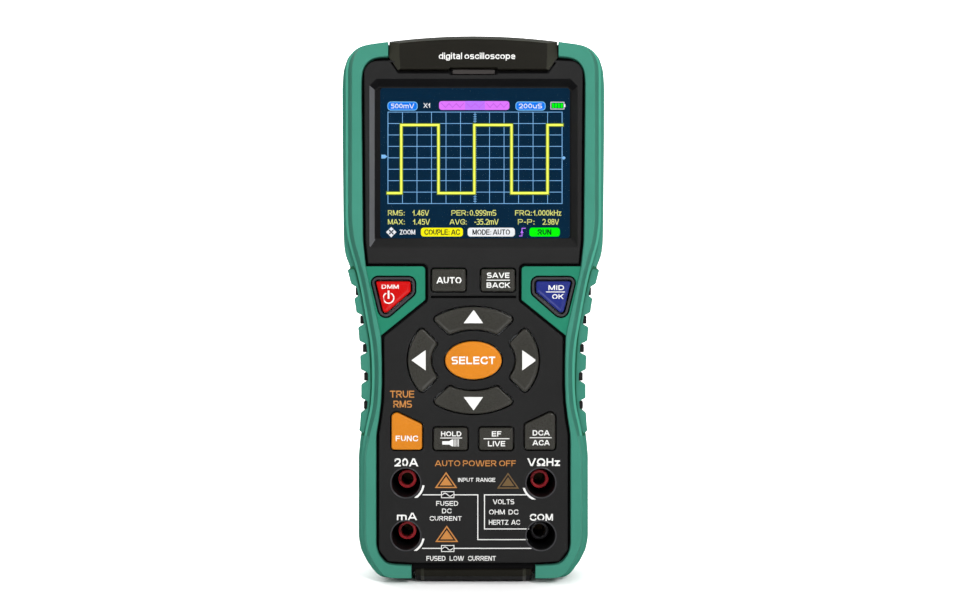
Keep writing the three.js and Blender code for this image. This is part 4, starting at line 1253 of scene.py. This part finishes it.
def rear_shell():
    """The back, with the recess of the stand, the bed of the door, the bay and the pads' ribs."""
    body = Body()
    profile = [
        (-2.6, REAR), (-2.1, REAR - 0.06), (-1.5, REAR - 0.35), (-0.85, REAR - 1.1),
        (-0.4, REAR - 2.1), (-0.1, REAR - 3.4), (0, REAR - 5), (0, SPLIT + 0.2), (-0.2, SPLIT + 0.05),
    ]
    floor = BACK - 2 * PIVOT_R - 0.3
    low = STAND_LOW - 1.7
    reach = STAND_OUTER + RECESS
    recess = box_outline(-reach, reach, low, PIVOT_Z + PIVOT_R + RECESS, 1.2)
    bay = box_outline(*BAY, 1)
    rim = [(0.3, REAR), (0.09, REAR - 0.09), (0, REAR - 0.3)]
    inside = 12.4
    pockets = [
        (oval(x, z, 3.3, count=40), rim + [(0, 14.3)]) for x, z in CASE_SCREWS
    ] + [(oval(0, TORCH_Z, TORCH_R + 0.3, count=48), rim + [(0, 13)])]
    body.wall(rear_outline, profile + [(-2.4, SPLIT + 0.05), (-2.4, inside)])
    body.fill([rear_outline(-2.4), bay()], inside)
    openings = [recess(rim[0][0])]
    body.wall(recess, rim + [(0, floor)])
    for pocket, depths in pockets:
        body.wall(pocket, depths)
        openings.append(pocket(depths[0][0]))
        body.fill([pocket(0)], depths[-1][1])
    body.fill([rear_outline(profile[0][0]), *openings], REAR)
    # The floor of the recess, with the island between the stand's legs and the door's bed.
    island = box_outline(
        -STAND_INNER + RECESS, STAND_INNER - RECESS, STAND_LOW + STAND_FOOT + RECESS,
        PIVOT_Z - PIVOT_R - RECESS, 1.5,
    )
    left, right, door_low, door_high = DOOR
    bed = box_outline(
        left - DOOR_GAP, right + DOOR_GAP, door_low - DOOR_GAP, door_high + DOOR_GAP, 2.3,
    )
    body.fill([recess(), bay()], floor)
    body.wall(bay, [(0, floor), (0, inside)])
    bed_y, brow = REAR - DOOR_THICK - DOOR_GAP, edge(REAR, 0.3, -1)
    threads = [oval(0, z, 1.4, count=24) for z in DOOR_SCREWS]
    body.wall(island, brow + [(0, floor - 0.2)])
    body.wall(bed, rim + [(0, bed_y)])
    body.wall(bay, [(0.3, bed_y), (0.1, bed_y - 0.2), (0.1, floor - 0.2)])
    for thread in threads:
        body.wall(thread, [(0, bed_y), (0, floor)])
        body.fill([thread()], floor)
    body.fill([island(brow[0][0]), bed(rim[0][0])], REAR)
    body.fill([bed(), bay(0.3), *(thread() for thread in threads)], bed_y)
    body.fill([island(), bay(0.1)], floor - 0.2)
    # The tray that holds the two cells.
    tray_rim, tray_back = inside + 0.2, BAY_FLOOR - 1.4
    body.wall(bay, [(-0.1, BAY_FLOOR), (-0.1, tray_rim)])
    body.wall(bay, [(1.5, tray_rim), (1.5, tray_back + 0.3), (1.2, tray_back)])
    body.fill([bay(1.5), bay(-0.1)], tray_rim)
    body.fill([bay(-0.1)], BAY_FLOOR)
    body.fill([bay(1.2)], tray_back)
    for middle in ((low_z + high_z) / 2 for low_z, high_z in NOTCHES):
        for side in (-1, 1):
            out, root = pad_side(middle) - 0.9, grip_side(middle) - 3.6
            across = sorted((side * root, side * out))
            body.box(across, (-13, 6), (middle - RIB_HEIGHT / 2, middle + RIB_HEIGHT / 2), 0.4)
    finish_piece("rear_shell", body, BLACK, ["rear_case"])


rear_shell()


def screw(name, replaced, rides, x, z, head, shank, head_front, head_back, tip):
    """A pan-head screw with a cross cut into it, driven from the back."""
    body = Body()
    arm, half = head * 0.6, 0.32
    cross = Outline([
        (x + half, z - arm), (x + half, z - half), (x + arm, z - half), (x + arm, z + half),
        (x + half, z + half), (x + half, z + arm), (x - half, z + arm), (x - half, z + half),
        (x - arm, z + half), (x - arm, z - half), (x - half, z - half), (x - half, z - arm),
    ])
    body.plate(
        oval(x, z, head, count=40), edge(head_back, 0.35, -1) + [(0, head_front)], [],
        [(cross, [(0.05, head_back), (0, head_back - 0.1), (-0.1, head_back - 0.9)])],
    )
    body.plate(oval(x, z, shank, count=24), [(0, head_front + 0.1), (0, tip + 0.6), (-0.6, tip)])
    finish_piece(name, body, STEEL, [replaced], rides=rides)


for number, (screw_x, screw_z) in enumerate(CASE_SCREWS, 1):
    screw(
        f"shell_screw_{number}", f"case_screw_{number}", "case", screw_x, screw_z,
        head=2.8, shank=1.3, head_front=14.6, head_back=17, tip=-2,
    )
for number, screw_z in enumerate(DOOR_SCREWS, 1):
    screw(
        f"bay_screw_{number}", f"door_screw_{number}", "door", 0, screw_z,
        head=2.2, shank=1.1, head_front=18.7, head_back=REAR - 0.1, tip=11,
    )


def battery_cell(number, x):
    """A wrapped cell with rounded ends and a raised contact on its upper one."""
    profile = [
        (6.2, CELL_LOW), (7.9, CELL_LOW), (8.6, CELL_LOW + 0.15), (9.05, CELL_LOW + 0.5),
        (CELL_R, CELL_LOW + 1), (CELL_R, CELL_HIGH - 2.2), (9.05, CELL_HIGH - 1.7),
        (8.6, CELL_HIGH - 1.45), (7.6, CELL_HIGH - 1.4), (7.2, CELL_HIGH - 1.7),
        (4.4, CELL_HIGH - 1.7), (4.3, CELL_HIGH - 0.3), (4, CELL_HIGH),
    ]
    body = Body()
    made = body.loft([
        [(x + r * math.cos(t), CELL_Y + r * math.sin(t), z) for t in turns(64)]
        for r, z in profile
    ])
    body.face(*made[0])
    body.face(*made[-1])
    finish_piece(f"cell_{number}", body, WRAP, [f"battery_cell_{number}"])


battery_cell(1, -CELL_X)
battery_cell(2, CELL_X)


def battery_door():
    """The door: two screw holes and three ridges for a thumb."""
    body = Body()
    plate = box_outline(*DOOR, 2)
    bores = [
        (oval(0, z, 1.4, count=32), [(1.25, REAR), (1.12, REAR - 0.08), (1.1, REAR - 0.3),
                                     (1.1, 18.4), (0, 18.35), (0, REAR - DOOR_THICK)])
        for z in DOOR_SCREWS
    ]
    ridges = [
        (box_outline(-9 + inset, 9 - inset, z - 0.55, z + 0.55, 0.5),
         [(0.12, REAR), (0, REAR - 0.12), (-0.2, REAR - 0.5)])
        for inset, z in zip((0, 0.6, 1.8), (110, 107.6, 105.2))
    ]
    body.plate(plate, edge(REAR, 0.45, -1) + [(0, REAR - DOOR_THICK)], bores, ridges)
    finish_piece("bay_door", body, BLACK, ["battery_door"], rides="door")


def tilt_stand():
    """A frame with a round barrel across its top, whose ends turn in the back shell."""
    body = Body()
    legs = Outline([
        (-STAND_OUTER, STAND_LOW, 3), (STAND_OUTER, STAND_LOW, 3), (STAND_OUTER, PIVOT_Z),
        (-STAND_OUTER, PIVOT_Z),
    ], 8)
    opening = box_outline(
        -STAND_INNER, STAND_INNER, STAND_LOW + STAND_FOOT, PIVOT_Z - 1, 2,
    )
    face = edge(BACK, 0.5, -1)
    root = [(0, BACK - STAND_THICK + 0.3), (-0.3, BACK - STAND_THICK)]
    opening_face = [(-growth, y) for growth, y in face] + [(0, root[0][1]), (0.3, root[1][1])]
    finger = box_outline(-9, 9, STAND_LOW + 3.6, STAND_LOW + 5.4, 0.85)
    body.plate(legs, face + root, [(opening, opening_face)], [
        (finger, [(0.25, BACK), (0.05, BACK - 0.1), (-0.1, BACK - 0.7)]),
    ])
    barrel = [
        (-STAND_OUTER - 2, PIN - 0.3), (-STAND_OUTER - 1.7, PIN), (-STAND_OUTER - 0.01, PIN),
        (-STAND_OUTER, PIVOT_R - 0.25), (-STAND_OUTER + 0.25, PIVOT_R),
    ]
    barrel += [(-x, r) for x, r in reversed(barrel)]
    made = body.loft([
        [(x, PIVOT_Y + r * math.cos(t), PIVOT_Z + r * math.sin(t)) for t in turns(40)]
        for x, r in barrel
    ])
    body.face(*made[0])
    body.face(*made[-1])
    finish_piece("bail_stand", body, BLACK, ["tilt_stand"], rides="stand")
    pad = Body()
    pad.box((-17, 17), (BACK - 3, BACK - 0.4), (STAND_LOW - 1.1, STAND_LOW + 0.05), 0.35)
    finish_piece("bail_foot_pad", pad, RUBBER, ["stand_foot_pad"], rides="stand")


battery_door()
tilt_stand()


# ---------------------------------------------------------------- torch, window and indicator
def torch():
    lens = Body()
    dome = [(r, REAR + 0.2 - 0.35 * (r / TORCH_R) ** 2) for r in steps(0, TORCH_R - 0.25, 6)]
    lens.lathe(0, TORCH_Z, [
        *dome, (TORCH_R, REAR - 0.4), (TORCH_R, 16.2), (TORCH_R + 0.2, 16.1), (TORCH_R + 0.2, 14.7),
        (TORCH_R, 14.6), (1.6, 14.6), (1.2, 16.6), (0, 17),
    ], 56)
    finish_piece("torch_window", lens, LENS, ["torch_lens"], 30)


def display():
    window = Body()
    window.box((-36, 36), (GLASS, GLASS + 1), (123.3, 180.7), 0.25)
    finish_piece("screen_window", window, LENS, ["display_window"], 30)
    mask = Body()
    border, sheet = box_outline(-36, 36, 123.4, 180.6, 0.5), [(0, GLASS - 0.12), (0, GLASS - 0.02)]
    mask.plate(border, sheet, [(box_outline(*WINDOW, 1.1), sheet)])
    finish_piece("screen_mask", mask, BLACK_AND_PAINTED_SHADE)
    bar = Body()
    bar.plate(
        box_outline(-7.5, 7.7, 183.95, 185.55, 0.44, 5), edge(PANEL + 0.12, 0.2) + [(0, -17.4)],
    )
    finish_piece("indicator_bar", bar, INDICATOR, ["indicator_lens"], 30)


torch()
display()


# ---------------------------------------------------------------- ink on the panels
def wave(x, z, width, height, turns=1, count=24):
    """A sine along x: the sign for a fuse, and for alternating current."""
    return [
        (x + width * (t - 0.5), z + height / 2 * math.sin(2 * math.pi * turns * t))
        for t in steps(0, 1, count)
    ]


def frame_line(target, x0, x1, z0, z1, width, y):
    """A rectangular outline."""
    stroke(target, [(x0, z0), (x1, z0), (x1, z1), (x0, z1)], width, y, closed=True)


def triangle(x, base, half, height, shrink=0.0):
    """An upright triangle, drawn in by some distance on every side."""
    slant = math.hypot(half, height)
    inner_half = half - shrink * (slant + half) / height
    return [
        (x - inner_half, base + shrink), (x + inner_half, base + shrink),
        (x, base + shrink + inner_half * height / half),
    ]


def panel_ink():
    """The printed words, lines, triangles and arcs round the sockets, and the cap's words."""
    y = PANEL - 0.03
    white, orange, dim, dark = Body(), Body(), Body(), Body()
    for text, x, z, height, width in (
        ("20A", -24.2, 43.9, 2.9, 8.4), ("V\u03a9Hz", 25.4, 44, 2.8, 11.7),
        ("mA", -24, 24.4, 2.65, 7.2), ("COM", 24.5, 24.1, 2.45, 8.4),
        ("INPUT  RANGE", 1.2, 37.6, 1.4, 13.4), ("FUSED", -9.45, 29.1, 1.7, 7.9),
        ("DC", -9.6, 26.4, 1.7, 3.4), ("CURRENT", -10, 23.7, 1.6, 11.6),
        ("VOLTS", 10.9, 29.7, 1.75, 7.6), ("OHM  DC", 10.9, 26, 1.75, 10.6),
        ("HERTZ  AC", 11.2, 22.3, 1.75, 11.2), ("FUSED   LOW   CURRENT", -4.4, 9.3, 1.7, 25),
    ):
        letters(white, text, x, z, height, y, width, 0.19 if height > 2 else 0.155)
    for text, x, z, height, width in (
        ("TRUE", -25.7, 68.5, 2.5, 8.7), ("RMS", -25.5, 64.9, 2.5, 6.6),
        ("AUTO POWER OFF", 0.75, 43.55, 2.1, 29.2),
    ):
        letters(orange, text, x, z, height, y, width, 0.15)
    for points in (
        [(-18.1, 32.2), (1.6, 32.2), (1.6, 16.05), (19.3, 16.05)],
        [(19, 32.2), (4, 32.2), (4, 19.9), (19.8, 19.9)],
        [(-18.3, 12.9), (20.8, 12.9)],
    ):
        stroke(white, points, 0.33, y)
    for z in (32.25, 12.85):
        patch(dark, [(-11.5, z - 1.1), (-7, z - 1.1), (-7, z + 1.1), (-11.5, z + 1.1)], y - 0.005)
        frame_line(white, -11.5, -7, z - 1.1, z + 1.1, 0.26, y - 0.03)
        stroke(white, wave(-9.3, z, 3.6, 1.1), 0.28, y - 0.03)
    for name, start, end in (("20a", -11, -51), ("ma", -13, -53), ("volt", 200, 241)):
        x, z = SOCKETS[name]
        stroke(white, arc_points(x, z, 6.4, start, end), 0.72, y)
    for target, x, base, half, height in (
        (orange, -9.85, 34.65, 4.05, 5.8), (orange, -9.6, 15.2, 4.15, 5.95),
        (dim, 12.5, 34.45, 4, 5.75),
    ):
        slab(target, [triangle(x, base, half, height), triangle(x, base, half, height, 0.42)], y)
        patch(target, triangle(x, base, half, height, 0.95), y)
    for tone, body, material in (
        ("white", white, WHITE_INK), ("orange", orange, ORANGE_INK), ("dim", dim, DIM_INK),
        ("dark", dark, BLACK_AND_PAINTED_SHADE),
    ):
        finish_piece(f"panel_marks_{tone}", body, material)
    cap = Body()
    letters(cap, "digital oscilloscope", 1.3, 190.35, 2.25, FRONT + 0.07, 27.5, 0.155)
    finish_piece("cap_marks", cap, WHITE_INK)


def key_ink():
    """What is printed on the keys; each mark rides with its key."""
    y = FRONT + 0.13
    marks = {name: Body() for name in KEYS}

    def word(name, text, x, z, height, width):
        letters(marks[name], text, x, z, height, y, width)

    word("auto", "AUTO", -8.75, 109.55, 2.3, 8.9)
    for name, upper, upper_width, lower, lower_width, x, z, rule in (
        ("save", "SAVE", 8.1, "BACK", 8.4, 8.95, 109.6, 8.2),
        ("live", "EF", 3.45, "LIVE", 6.2, 8.35, 52.5, 9),
        ("range", "DCA", 6.1, "ACA", 6.1, 24.4, 52.85, 7.9),
    ):
        word(name, upper, x, z + 1.75, 1.9, upper_width)
        word(name, lower, x, z - 1.8, 1.9, lower_width)
        stroke(marks[name], [(x - rule / 2, z), (x + rule / 2, z)], 0.3, y)
    word("function", "FUNC", -23.95, 52.6, 2, 8.1)
    word("select", "SELECT", 0, NAV_Z, 2.75, 15.8)
    word("power", "DMM", -29.95, 107.3, 1.6, 6.2)
    ring = arc_points(-30.55, 103.2, 1.9, 127, 413, 36)
    stroke(marks["power"], ring, 0.42, y)
    stroke(marks["power"], [(-30.55, 105.5), (-30.55, 103.2)], 0.62, y - 0.001)
    word("confirm", "MID", 29.85, 106.9, 1.75, 5.7)
    word("confirm", "OK", 30.4, 103.7, 1.75, 4.1)
    stroke(marks["confirm"], [(26.3, 105.35), (33.2, 105.35)], 0.28, y)
    word("hold", "HOLD", -8, 54.25, 1.8, 7.3)
    stroke(marks["hold"], [(-11.8, 52.75), (-4.2, 52.75)], 0.28, y)
    torch_shape = [
        (-11.2, 51.6), (-11.2, 50.4), (-8.7, 50.4), (-7.7, 49.75), (-7.2, 49.75), (-7.2, 52.25),
        (-7.7, 52.25), (-8.7, 51.6),
    ]
    patch(marks["hold"], torch_shape, y)
    for x in (-6.85, -6.35, -5.85, -5.35):
        stroke(marks["hold"], [(x, 49.8), (x, 52.2)], 0.22, y)
    for name, points in (
        ("up", [(-3.5, 94.1), (3.5, 94.1), (0.1, 98.9)]),
        ("down", [(3.5, 67.5), (-3.5, 67.5), (0.1, 62.7)]),
        ("left", [(-17.2, 77.1), (-17.2, 84.4), (-22.3, 80.75)]),
        ("right", [(17.6, 84.4), (17.6, 77.1), (22.7, 80.75)]),
    ):
        patch(marks[name], points, y)
    for name, body in marks.items():
        finish_piece(f"key_mark_{name}", body, WHITE_INK, rides=f"{name}_key")


panel_ink()
key_ink()


# ---------------------------------------------------------------- what the screen shows
def screen_picture():
    """Everything the screen shows, as thin shapes in a few layers under the window."""
    back = GLASS + 1.3
    near, nearer = back - 0.06, back - 0.12
    layers = {}

    def on(material, depth=near):
        body, _ = layers.setdefault((material.name, depth), (Body(), material))
        return body

    def pill(material, x0, x1, z0, z1, rim=None, depth=near):
        outline = box_outline(x0, x1, z0, z1, min((z1 - z0) * 0.35, 1))
        if rim:
            patch(on(rim, depth), outline(0.28), depth + 0.01)
        patch(on(material, depth), outline(), depth)

    def block(material, x0, x1, z0, z1, depth):
        patch(on(material, depth), [(x0, z0), (x1, z0), (x1, z1), (x0, z1)], depth)

    left, right, low, high = -31.1, 32.3, 137.6, 170.9
    for i, x in enumerate(steps(left, right, 12)):
        stroke(on(GRID_BLUE), [(x, low), (x, high)], 0.25 if i in (0, 12) else 0.21, near)
    for i, z in enumerate(steps(low, high, 8)):
        stroke(on(GRID_BLUE, near - 0.01), [(left, z), (right, z)], 0.22, near - 0.01)
    middle = (left + right) / 2
    for z in steps(low, high, 40):
        stroke(on(GRID_BLUE, near - 0.02), [(middle - 0.5, z), (middle + 0.5, z)], 0.18, near - 0.02)
    base, peak = 141.4, 166.2
    trace = [(left, base)]  # a square wave
    for i, x in enumerate((-26.25, -12.7, 0.35, 13.9, 27.0)):
        trace += [(x, peak if i % 2 else base), (x, base if i % 2 else peak)]
    stroke(on(TRACE_EDGE, near - 0.03), [*trace, (right, peak)], 1.35, near - 0.03)
    stroke(on(TRACE, nearer), [*trace, (right, peak)], 0.75, nearer)
    level_mark = [(-33.5, 155.4), (-33.5, 154), (-32.2, 154), (-31.3, 154.7), (-32.2, 155.4)]
    patch(on(GRID_BLUE), level_mark, near)
    patch(on(GRID_BLUE), [(32.2, 154.2), (32.9, 153.5), (33.6, 154.2), (32.9, 154.9)], near - 0.03)

    pill(SCREEN_BLUE, -31, -20.6, 171.75, 174.45, SCREEN_RIM)
    pill(SCREEN_BLUE, 15.6, 26, 171.75, 174.45, SCREEN_RIM)
    pill(SCREEN_PINK, -12.5, 13.1, 171.7, 174.9)
    patch(on(SCREEN_VIOLET, nearer), [(-3, 171.7), (4.2, 171.7), (4.2, 174.9), (-3, 174.9)], near - 0.02)
    for start, end, teeth in ((-11.5, -3.6, 3), (4.8, 12.4, 3), (-2.4, 3.6, 2)):
        zigzag = [
            (x, 172.6 if i % 2 else 174) for i, x in enumerate(steps(start, end, teeth * 2))
        ]
        stroke(on(ZIGZAG, near - 0.05), zigzag, 0.22, near - 0.05)
    for text, x, z, width in (
        ("500mV", -25.8, 173.1, 8.4), ("200uS", 20.8, 173.1, 8.4), ("X1", -16.9, 173.3, 2.5),
    ):
        letters(on(SCREEN_WHITE, nearer), text, x, z, 1.7, nearer, width, 0.16)
    frame_line(on(SCREEN_WHITE, nearer), 28.2, 33, 172, 174.5, 0.22, nearer)
    block(SCREEN_WHITE, 33, 33.5, 172.7, 173.8, nearer)
    for x in (28.6, 29.65, 30.7, 31.75):
        block(SCREEN_GREEN, x, x + 0.85, 172.4, 174.1, nearer)

    for name, name_x, value, value_x, width, row in (
        ("RMS", -31.1, "1.46V", -22.1, 5.9, 0), ("MAX", -31.1, "1.45V", -21.9, 6, 1),
        ("PER", -8, "0.999mS", -1.3, 9.6, 0), ("AVG", -8.6, "-35.2mV", 0.4, 8.7, 1),
        ("FRQ", 15.2, "1.000kHz", 21.8, 10.2, 0), ("P-P", 16.2, "2.98V", 25.2, 5.9, 1),
    ):
        z = 134.2 - 3.25 * row
        letters(on(READOUT), name + ":", name_x, z, 1.9, near, 6.2, 0.13, 0)
        letters(on(READOUT), value, value_x, z, 2.05, near, width, 0.13, 0)

    cx, cz = -29.9, 127.2
    for quarter in range(4):
        t = quarter * math.pi / 2
        tip = [(0, 1.9), (-0.95, 0.95), (-0.3, 0.75), (0, 0.2), (0.3, 0.75), (0.95, 0.95)]
        patch(on(SCREEN_WHITE), [
            (cx + x * math.cos(t) - z * math.sin(t), cz + x * math.sin(t) + z * math.cos(t))
            for x, z in tip
        ], near)
    letters(on(SCREEN_WHITE), "ZOOM", -24, cz, 1.75, near, 5.6, 0.16)
    pill(SCREEN_YELLOW, -19.1, -3.8, 125.6, 128.8)
    pill(SCREEN_WHITE, -2.1, 15.1, 125.6, 128.8)
    pill(SCREEN_GREEN, 20.4, 31.5, 125.6, 128.8)
    for text, x, width, weight in (
        ("COUPLE: AC", -11.4, 12.8, 0.17), ("MODE: AUTO", 6.5, 13.6, 0.17), ("RUN", 25.9, 4.9, 0.2),
    ):
        letters(on(SCREEN_INK, nearer), text, x, cz, 1.95, nearer, width, weight)
    stroke(on(SCREEN_VIOLET), [(16.8, 125.8), (17.7, 125.8), (17.7, 128.6), (18.9, 128.6)], 0.3, near)
    patch(on(SCREEN_VIOLET), [(17.1, 126.9), (18.3, 126.9), (17.7, 127.9)], near - 0.02)
    for number, (body, material) in enumerate(layers.values(), 1):
        finish_piece(f"screen_layer_{number}", body, material)


screen_picture()

# ---------------------------------------------------------------- what stays as the frame has it
KEPT = {
    "display_module": SCREEN_BACK, "main_board": BOARD, "key_mat": SILICONE, "buzzer": BLACK,
    "fuse_holder_20a": BRASS, "fuse_holder_ma": BRASS, "fuse_20a": CERAMIC, "fuse_ma": CERAMIC,
    "battery_contact_low": STEEL, "battery_contact_high": STEEL,
}
for node, material in KEPT.items():
    mesh = NODES[node].data
    mesh.materials.clear()
    mesh.materials.append(material)
